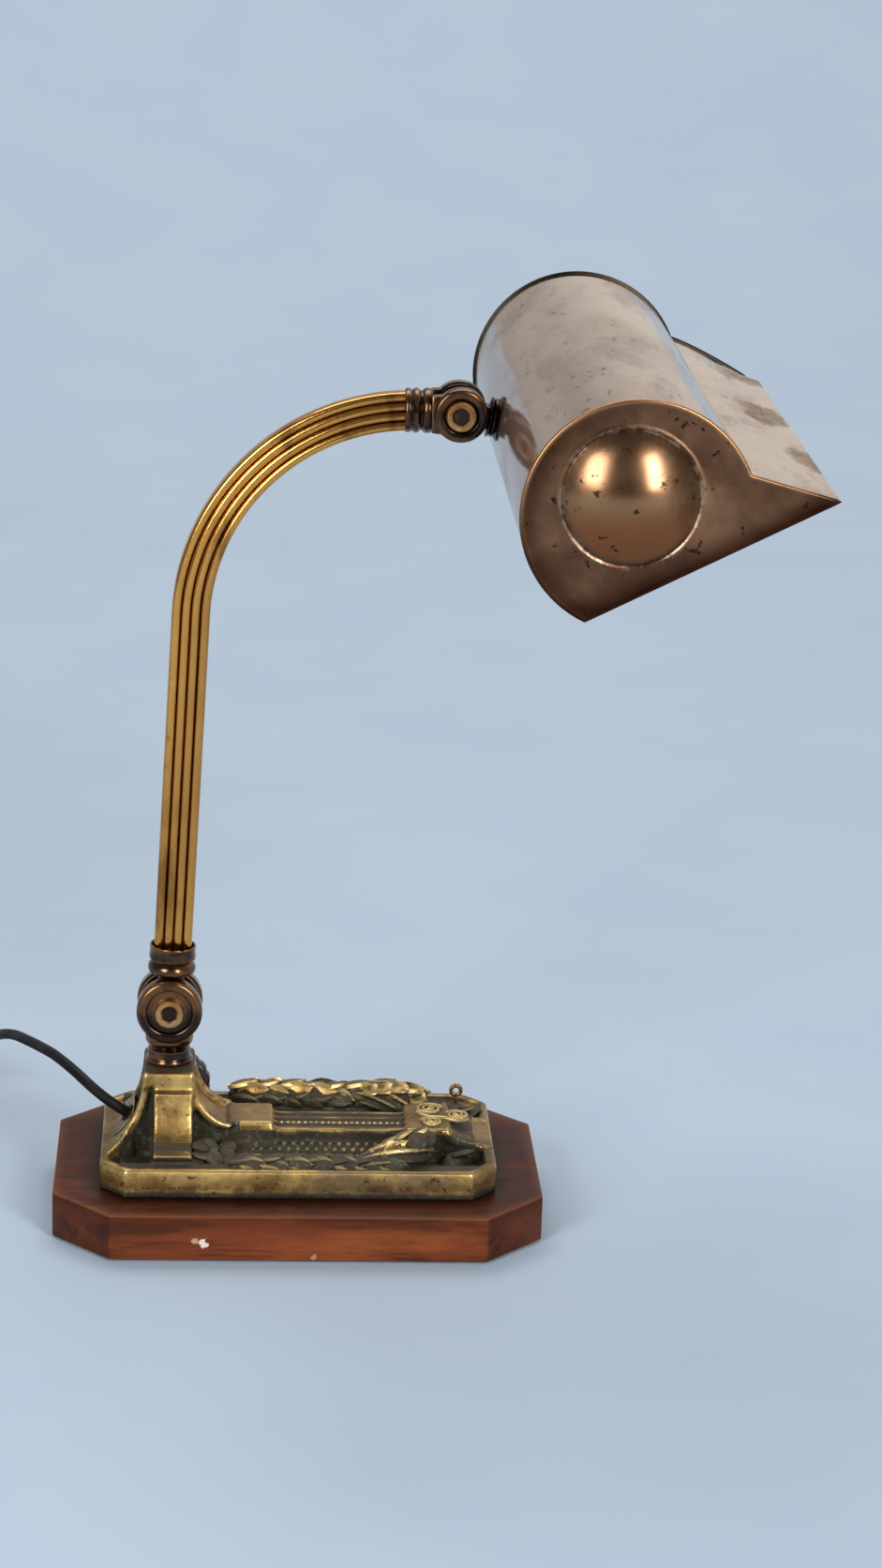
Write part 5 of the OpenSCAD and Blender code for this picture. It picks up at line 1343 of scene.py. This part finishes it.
class LAMP_OT_joints(bpy.types.Operator):
    """Turns the forks, tongues, pivot bolts and nuts of the two knuckle joints."""

    bl_idname = "lamp.joints"
    bl_label = "Knuckle joints"

    def execute(self, context):
        made = [self.lower_fork(), self.lower_tongue(), self.upper_fork()]
        made += [self.stem(), self.rosette()]
        for name, at, body in (("lower", LOWER, BASE), ("upper", UPPER, ARM)):
            bm = bmesh.new()
            lathe(bm, BOLT_HEAD, at, (0, 1, 0), 40)
            lathe(bm, BOLT_SHAFT, at, (0, -1, 0), 32)
            bolt = name + "_pivot_bolt"
            made.append(finish_piece(name + "_bolt", bm, "brown_patina_bronze", body, bolt))
            bm = bmesh.new()
            lathe(bm, ROUND_NUT, at, (0, -1, 0), 48, True)
            finish_piece(name + "_round_nut", bm, "rubbed_bronze", body, name + "_pivot_nut")
        weather(made, 5)
        for name, soil in SOILED:
            masks = bpy.data.objects[name].data.attributes
            for shut, rub in zip(masks["recess"].data, masks["edge"].data):
                shut.value = min(shut.value + soil, 1.0)
                rub.value *= 1 - soil
        return {"FINISHED"}

    def lower_fork(self):
        """The fork on the pedestal, with its turned neck."""
        bm = bmesh.new()
        fork(bm, LOWER, LOWER_R, LOWER_WEB, 0.8)
        lathe(bm, LOWER_NECK, LOWER, closed=True)
        return finish_piece("lower_fork_turned", bm, "brown_patina_bronze", BASE, "lower_fork")

    def lower_tongue(self):
        """The tongue in the lower fork, with the collar that holds the arm."""
        bm = bmesh.new()
        tongue(bm, LOWER_R, 14.2, 10)
        lathe(bm, LOWER_COLLAR, (0, 0, 0))
        bm.transform(turned_frame(LOWER, Vector((math.sin(ARM_LEAN), 0, math.cos(ARM_LEAN)))))
        return finish_piece("lower_tongue_turned", bm, "brown_patina_bronze", ARM, "lower_tongue")

    def upper_fork(self):
        """The fork at the arm's end, with its collar."""
        bm = bmesh.new()
        fork(bm, UPPER, UPPER_R, UPPER_WEB, 0.7)
        lathe(bm, UPPER_COLLAR, UPPER, (-1, 0, 0))
        return finish_piece("upper_fork_turned", bm, "brown_patina_bronze", ARM, "upper_fork")

    def stem(self):
        """The tongue in the upper fork, with the stem that holds the shade."""
        bm = bmesh.new()
        tongue(bm, UPPER_R, 11.6, 8.6)
        lathe(bm, STEM_RINGS, (0, 0, 0), UP, 48)
        bm.transform(turned_frame(UPPER, STEM_WAY))
        return finish_piece("stem_turned", bm, "brown_patina_bronze", SHADE, "shade_stem")

    def rosette(self):
        """A turned rose whose back follows the shade's tube."""
        bm = bmesh.new()
        turn = turned_frame(UPPER, STEM_WAY)
        rows = []
        for r, s in ROSETTE:
            row = []
            for a in around(56):
                u, v = r * math.cos(a), r * math.sin(a)
                seat = TUBE_FAR - math.sqrt(TUBE_R**2 - u * u) + 0.02
                if s is None:
                    height = seat
                elif r < 8:
                    height = min(s, seat)
                else:
                    height = seat - 0.7 + 0.3 * (s - 14.6)
                row.append(bm.verts.new(turn @ Vector((u, v, height))))
            rows.append(row)
        skin(bm, rows, loop=True)
        return finish_piece("rosette_turned", bm, "brown_patina_bronze", SHADE, "stem_rosette")


REED, REEDS, REED_STEPS, ARM_THICK = 3.65, 4, 8, 8.0
ARM_FROM, ARM_RISE, ARM_BEND_R = 17, 158.0, 83.0
STRAIGHT_STEPS, BEND_STEPS = 14, 40


class LAMP_OT_arm(bpy.types.Operator):
    """Draws the reeded arm, straight and then bent through a quarter turn."""

    bl_idname = "lamp.arm"
    bl_label = "Reeded arm"

    def execute(self, context):
        outline = self.outline()
        c, s = math.cos(ARM_LEAN), math.sin(ARM_LEAN)
        bm = bmesh.new()
        rows = []
        for across, up, turn in self.stations():
            row = []
            for x, y, _ in outline:
                px, pz = across + x * math.cos(turn), up - x * math.sin(turn)
                row.append(bm.verts.new((LOWER.x + px * c + pz * s, y, LOWER.z - px * s + pz * c)))
            rows.append(row)
        skin(bm, rows, ends=True)
        piece = finish_piece("reeded_arm", bm, "drawn_brass_reeds", ARM, "arm_tube", 100)
        write_mask(piece.data, "groove", [dark for _, _, dark in outline] * len(rows))
        return {"FINISHED"}

    def outline(self):
        """The arm's section, four reeds on either face, with how dark each point is: a tarnished
        groove, and painted shade on the right-hand reed.
        """
        mid = (ARM_THICK - REED) / 2
        points = []
        for side in (1, -1):
            for i in range(REEDS):
                for k in range(REED_STEPS):
                    a = math.pi * k / REED_STEPS
                    x = ((REEDS - 1) / 2 - i) * REED + REED / 2 * math.cos(a)
                    dark = 1 - math.sin(a)
                    if (i == 0 and k < REED_STEPS / 2) or (i == REEDS - 1 and k > REED_STEPS / 2):
                        dark *= 0.25
                    # Painted shade: the reed on the right of each face, on the arm's shaded side,
                    # is laid darker
                    dark += 0.16 * step(0.8 * REED, 1.4 * REED, side * x)
                    points.append((side * x, side * (mid + REED / 2 * math.sin(a)), dark))
            points.append((-side * REEDS * REED / 2, side * mid, 0.25))
        return points

    def stations(self):
        """Places of the section along the arm: across, up, and turned by."""
        rise = ARM_RISE - ARM_FROM
        places = [(0, ARM_FROM + rise * i / STRAIGHT_STEPS, 0) for i in range(STRAIGHT_STEPS)]
        bend = math.pi / 2 - ARM_LEAN
        for turn in (bend * k / BEND_STEPS for k in range(BEND_STEPS + 1)):
            up = ARM_RISE + ARM_BEND_R * math.sin(turn)
            places.append((ARM_BEND_R * (1 - math.cos(turn)), up, turn))
        return places


# Shade

MOUTH_Z = -25.3
CREASE = (math.sqrt(TUBE_R**2 - 3.4**2), -3.4)
VISOR = (65.2, MOUTH_Z)
BACK = (-math.sqrt(TUBE_R**2 - MOUTH_Z**2), MOUTH_Z)
ROUND_STEPS, VISOR_STEPS, SHADE_STEPS = 64, 14, 72

# Patches of the visor rubbed through to the brass: middle and reach along Y, then across the visor
WORN_PATCHES = ((92, 38, 0.8, 0.62), (6, 36, 0.72, 0.55), (-68, 34, 1.0, 0.5))


def shade_place(x, y, z):
    """From the shade's own section to the lamp's frame, in millimetres."""
    c, s = math.cos(SHADE_TILT), math.sin(SHADE_TILT)
    return Vector((SHADE_AT.x + c * x - s * z, y, SHADE_AT.z + s * x + c * z))


def shade_section(round_steps, visor_steps):
    """The shade's outline from the back of the mouth over the top to the visor's edge."""
    start = math.atan2(BACK[1], BACK[0]) + 2 * math.pi
    end = math.atan2(CREASE[1], CREASE[0])
    points = []
    for i in range(round_steps + 1):
        a = start + (end - start) * i / round_steps
        points.append((TUBE_R * math.cos(a), TUBE_R * math.sin(a)))
    for f in (i / visor_steps for i in range(1, visor_steps + 1)):
        points.append(tuple(c + (v - c) * f for c, v in zip(CREASE, VISOR)))
    return points


def outward(a, b):
    """The way out of a section, square to the line between two of its points."""
    long = math.hypot(b[0] - a[0], b[1] - a[1])
    return -(b[1] - a[1]) / long, (b[0] - a[0]) / long


def bent(x, z, y, run):
    """Old knocks: the far corner of the visor is bent, and the sheet is not quite true."""
    hold = step(SHADE_HALF, SHADE_HALF - 14, abs(y))
    wave = noise.noise(Vector((x * 0.022, y * 0.017, z * 0.022)))
    swell = 1 + hold * 0.35 * wave / max(math.hypot(x, z), 1.0)
    drop = sizes().visor_dent / MM * step(84, 128, y) * run**1.5
    ripple = 1.3 * noise.noise(Vector((y * 0.03, 4.0, run))) * run * hold
    return x * swell - 0.35 * drop, z * swell - drop + ripple


def rubbed(y, run):
    """How far the plating is worn through at a place along and across the visor."""
    spots = 0.7 * step(118, 130, y) * run
    for mid, wide, out, deep in WORN_PATCHES:
        spots += max(0.0, 1 - ((y - mid) / wide) ** 2 - ((run - out) / deep) ** 2)
    return min(spots, 1.0)


class LAMP_OT_shade(bpy.types.Operator):
    """Rolls the shade's sheet, with its creased visor and bent far corner."""

    bl_idname = "lamp.shade"
    bl_label = "Shade"

    def execute(self, context):
        section = shade_section(ROUND_STEPS, VISOR_STEPS)
        last = len(section) - 1
        sheet = sizes().sheet / MM
        bm = bmesh.new()
        outer, inner, worn, tarnish = [], [], [], []
        for j in range(SHADE_STEPS + 1):
            y = -SHADE_HALF + 2 * SHADE_HALF * j / SHADE_STEPS
            row_out, row_in = [], []
            for i, (x, z) in enumerate(section):
                run = min(max((i - ROUND_STEPS) / VISOR_STEPS, 0.0), 1.0)
                px, pz = bent(x, z, y, run)
                nx, nz = outward(section[max(i - 1, 0)], section[min(i + 1, last)])
                row_out.append(bm.verts.new(shade_place(px, y, pz)))
                row_in.append(bm.verts.new(shade_place(px - nx * sheet, y, pz - nz * sheet)))
                worn += [rubbed(y, run), 0.0]
                # Back and left of the section: tarnished, and painted as a reflection of darker
                # surroundings
                tarnish += [step(-6, -30, x), 0.0]
            outer.append(row_out)
            inner.append(row_in)
        self.sheet_faces(bm, outer, inner)
        piece = finish_piece("shade_sheet", bm, "worn_nickel_plating", SHADE, "shade_shell", 30)
        write_mask(piece.data, "worn", worn)
        write_mask(piece.data, "tarnish", tarnish)
        return {"FINISHED"}

    def sheet_faces(self, bm, outer, inner):
        """Both sides of the sheet and its four edges."""
        last = len(outer[0]) - 1
        for o, p, q, r in zip(outer, outer[1:], inner, inner[1:]):
            for i in range(last):
                bm.faces.new((o[i], p[i], p[i + 1], o[i + 1]))
                bm.faces.new((q[i], q[i + 1], r[i + 1], r[i]))
            bm.faces.new((o[0], q[0], r[0], p[0]))
            bm.faces.new((o[last], p[last], r[last], q[last]))
        for i in range(last):
            bm.faces.new((outer[0][i], outer[0][i + 1], inner[0][i + 1], inner[0][i]))
            bm.faces.new((outer[-1][i], inner[-1][i], inner[-1][i + 1], outer[-1][i + 1]))


# End caps: the dome's middle, radius and height, and the flat face that it rises from
DOME_AT, DOME_R, DOME_H = (0.4, 7.4), 24.0, 9.0
DOME_BALL = (DOME_R**2 + DOME_H**2) / (2 * DOME_H)
CAP_FACE = 1.2
CAP_ROUND, CAP_VISOR, CAP_MOUTH, DOME_STEPS = 72, 18, 40, 15
NEAR_BEAD, FAR_BEAD = 0.42, 0.95

# The rolled rim's way out and depth before and after its bead, the rings of the face, the groove's
# radius, depth and dirt, and the radius and depth of the back
ROLL_START = ((-0.9, -0.3), (0.2, -0.2))
ROLL_FINISH = ((0.2, 1.15), (-0.2, 1.36), (-0.7, 1.38), (-1.2, 1.28), (-1.7, CAP_FACE))
FACE_SHARES = (0.12, 0.26, 0.42, 0.6, 0.78, 0.92, 1.0)
DOME_GROOVE = (
    (25.6, 1.35, 0.2), (25.1, 1.5, 0.5), (24.7, 1.45, 0.8), (24.3, 1.15, 1.0), (24.0, 1.0, 1.0),
    (23.7, 1.25, 0.5),
)
CAP_BACK = ((24.0, 0.0), (20.0, 1.8), (14.0, 5.4), (7.0, 8.0))


def toward(p, r):
    """The point at a radius from the dome's middle, in the direction of another point."""
    dx, dz = p[0] - DOME_AT[0], p[1] - DOME_AT[1]
    away = math.hypot(dx, dz)
    return DOME_AT[0] + dx / away * r, DOME_AT[1] + dz / away * r


def inset(p, n, out):
    """Moves a point of the outline straight towards the dome, so that columns never cross."""
    dx, dz = p[0] - DOME_AT[0], p[1] - DOME_AT[1]
    away = math.hypot(dx, dz)
    far = out / max((dx * n[0] + dz * n[1]) / away, 0.25)
    return p[0] + dx / away * far, p[1] + dz / away * far


class LAMP_OT_caps(bpy.types.Operator):
    """Spins the two domed end caps with their rolled rims."""

    bl_idname = "lamp.caps"
    bl_label = "End caps"

    def execute(self, context):
        self.cap("near_cap_spun", "near_end_cap", -1, NEAR_BEAD)
        self.cap("far_cap_spun", "far_end_cap", 1, FAR_BEAD)
        return {"FINISHED"}

    def cap(self, name, node, way, bead):
        """One cap, ring by ring: rolled rim, flat face, groove, dome, and back again inside."""
        points = shade_section(CAP_ROUND, CAP_VISOR)
        mouth = (VISOR[0] + (BACK[0] - VISOR[0]) * i / CAP_MOUTH for i in range(1, CAP_MOUTH))
        points += [(x, MOUTH_Z) for x in mouth]
        normals = [outward(a, b) for a, b in zip([points[-1], *points], [*points[1:], points[0]])]
        bm = bmesh.new()
        masks = []

        def ring(places, depth, rim=0.0, dome=0.0, groove=0.0):
            """Points of one ring, with the rubbing and the painted light that each shows."""
            row = []
            for x, z in places:
                row.append(self.point(bm, x, z, depth, way))
                masks.append(self.wear_and_light(x, z, way, rim, dome, groove))
            return row

        rows = []
        for out, depth in (*ROLL_START, (bead, 0.2), (bead, 0.75), *ROLL_FINISH):
            if out < 0:
                places = [inset(p, n, out) for p, n in zip(points, normals)]
            else:
                places = [(p[0] + n[0] * out, p[1] + n[1] * out) for p, n in zip(points, normals)]
            rows.append(ring(places, depth, rim=step(-1.4, -0.2, out)))
        # The last places are the inner edge of the rim, where the flat face starts
        flat = [(p, math.hypot(p[0] - DOME_AT[0], p[1] - DOME_AT[1])) for p in places]
        for f in FACE_SHARES:
            places = [toward(p, away + (DOME_R + 2.2 - away) * f) for p, away in flat]
            rows.append(ring(places, CAP_FACE))
        for r, depth, groove in DOME_GROOVE:
            rows.append(ring([toward(p, r) for p, _ in flat], depth, groove=groove))
        for r in (23.3 * (1 - i / DOME_STEPS) for i in range(1, DOME_STEPS)):
            depth = CAP_FACE + DOME_H - DOME_BALL + math.sqrt(DOME_BALL**2 - r * r)
            rows.append(ring([toward(p, r) for p, _ in flat], depth, dome=step(23.5, 21.5, r)))
        tip = ring([DOME_AT], CAP_FACE + DOME_H, dome=1.0)
        back = [ring([toward(p, r) for p in points], depth) for r, depth in CAP_BACK]
        skin(bm, [*rows, tip])
        skin(bm, [rows[0], *back])
        bm.faces.new(back[-1])
        piece = finish_piece(name, bm, "spun_bronze_cap", SHADE, node, 60)
        for i, mask in enumerate(("rim", "dome", "groove", "low", "soot")):
            write_mask(piece.data, mask, [m[i] for m in masks])

    def point(self, bm, x, z, depth, way):
        """A point of the cap, bent with the sheet that it closes."""
        run = min(max((x - CREASE[0]) / (VISOR[0] - CREASE[0]), 0.0), 1.0)
        px, pz = bent(x, z, way * SHADE_HALF, run)
        return bm.verts.new(shade_place(px, way * (SHADE_HALF + depth), pz))

    def wear_and_light(self, x, z, way, rim, dome, groove):
        """The masks of a point: painted highlight on the near rim, dome, groove, brown lower skin
        with the dome's painted reflection, dark far rim.
        """
        mouth = step(11, 0, z - MOUTH_Z)
        side = step(31, 41, math.hypot(x, z)) * step(14, -12, x) * 0.75
        # Painted reflection: the dome's lower half, which faces the wood below, is laid
        # orange-brown
        shaded = dome * 0.75 * step(4, -12, z - DOME_AT[1] + 0.4 * x)
        brown = min(mouth + side, 1.0) * (1 - dome)
        if way < 0:
            # On the near cap the rim is bright only along its top, a painted highlight
            return rim * step(-8, 24, z + 0.3 * x), dome, groove, brown + shaded, 0.0
        return 0.0, dome, groove, brown + shaded, 0.9 * rim


# Small parts and carried-over solids

# The knob's radius, height and depth of its flutes
KNOB = (
    (2.0, -9.0, 0), (2.0, 0.0, 0), (11.8, 0.0, 0), (12.6, 0.3, 0.4), (13.2, 1.0, 1), (13.3, 5.0, 1),
    (12.9, 6.4, 1), (11.9, 7.6, 0.8), (10.4, 8.5, 0.3), (8.6, 8.9, 0), (7.6, 8.6, 0), (6.6, 8.2, 0),
    (3.0, 8.2, 0), (0.6, 8.3, 0),
)
KNOB_Y, KNOB_STEPS, FLUTES, FLUTE_DEEP = 17.0, 96, 16, 0.65


class LAMP_OT_switch_knob(bpy.types.Operator):
    """Moulds the fluted switch knob behind the pedestal."""

    bl_idname = "lamp.switch_knob"
    bl_label = "Switch knob"

    def execute(self, context):
        low, high = node_corners("switch_knob")
        at = Vector(((low.x + high.x) / 2, KNOB_Y, (low.z + high.z) / 2))
        bm = bmesh.new()
        rows = []
        for r, h, cut in KNOB:
            row = []
            for a in around(KNOB_STEPS):
                out = r - FLUTE_DEEP * cut * (0.5 + 0.5 * math.cos(FLUTES * a)) ** 3
                row.append(bm.verts.new(at + Vector((out * math.cos(a), h, out * math.sin(a)))))
            rows.append(row)
        skin(bm, rows, ends=True)
        finish_piece("switch_knob_fluted", bm, "brown_bakelite", SWITCH, "switch_knob", 45)
        return {"FINISHED"}


WORN_SOLIDS = {
    "wool_felt": "felt_pad",
    "zinc_steel": "base_screws neck_washer",
    "turned_brass": "switch_nut neck_nut stem_nut holder_bracket holder_nut lampholder_thread",
    "vulcanised_fibre": "lower_friction_washers upper_friction_washers",
    "brown_bakelite": "switch_body lampholder_cap lampholder_shell plug_body",
    "black_flex": "cord_bush cord_tie base_flex arm_flex shade_flex",
    "glazed_porcelain": "lampholder_core",
    "plain_nickel": "bulb_base filament_mount plug_pins",
    "bulb_glass_clear": "bulb_glass",
}
SOFT_SOLIDS = (
    "neck_nut", "stem_nut", "holder_bracket", "holder_nut", "lampholder_cap", "lampholder_shell",
    "plug_body", "plug_pins", "switch_nut", "cord_tie", "cord_bush",
)
SOFT_EDGE = 0.3


class LAMP_OT_solids(bpy.types.Operator):
    """Gives the carried-over solids their finishes and softened edges."""

    bl_idname = "lamp.solids"
    bl_label = "Small parts"

    def execute(self, context):
        for finish, names in WORN_SOLIDS.items():
            for name in names.split():
                solid = frame["nodes"][name]
                solid.data.materials.clear()
                solid.data.materials.append(bpy.data.materials[finish])
        for name in SOFT_SOLIDS:
            rounding = frame["nodes"][name].modifiers.new("soft_edges", "BEVEL")
            rounding.width = SOFT_EDGE * MM
            rounding.segments = 2
            rounding.limit_method = "ANGLE"
            rounding.angle_limit = math.radians(40)
        return {"FINISHED"}


class LAMP_PT_panel(bpy.types.Panel):
    """Lists the lamp's sizes, colours and makers."""

    bl_idname = "LAMP_PT_panel"
    bl_label = "Desk lamp"
    bl_space_type = "VIEW_3D"
    bl_region_type = "UI"
    bl_category = "Lamp"

    def draw(self, context):
        for group in (context.scene.lamp_sizes, context.scene.lamp_finishes):
            box = self.layout.box()
            for name in group.__annotations__:
                box.prop(group, name)
        for maker in MAKERS:
            self.layout.operator(maker.bl_idname)


MAKERS = (
    LAMP_OT_materials, LAMP_OT_stage, LAMP_OT_cord, LAMP_OT_plinth, LAMP_OT_tray, LAMP_OT_carving,
    LAMP_OT_joints, LAMP_OT_arm, LAMP_OT_shade, LAMP_OT_caps, LAMP_OT_switch_knob, LAMP_OT_solids,
)
CLASSES = (LampSizes, LampFinishes, *MAKERS, LAMP_PT_panel)


def register():
    for item in CLASSES:
        bpy.utils.register_class(item)
    bpy.types.Scene.lamp_sizes = bpy.props.PointerProperty(type=LampSizes)
    bpy.types.Scene.lamp_finishes = bpy.props.PointerProperty(type=LampFinishes)


def unregister():
    del bpy.types.Scene.lamp_finishes
    del bpy.types.Scene.lamp_sizes
    for item in reversed(CLASSES):
        bpy.utils.unregister_class(item)


def main():
    register()
    for maker in MAKERS:
        group, name = maker.bl_idname.split(".")
        getattr(getattr(bpy.ops, group), name)()
    bpy.context.view_layer.update()


if __name__ == "__main__":
    main()
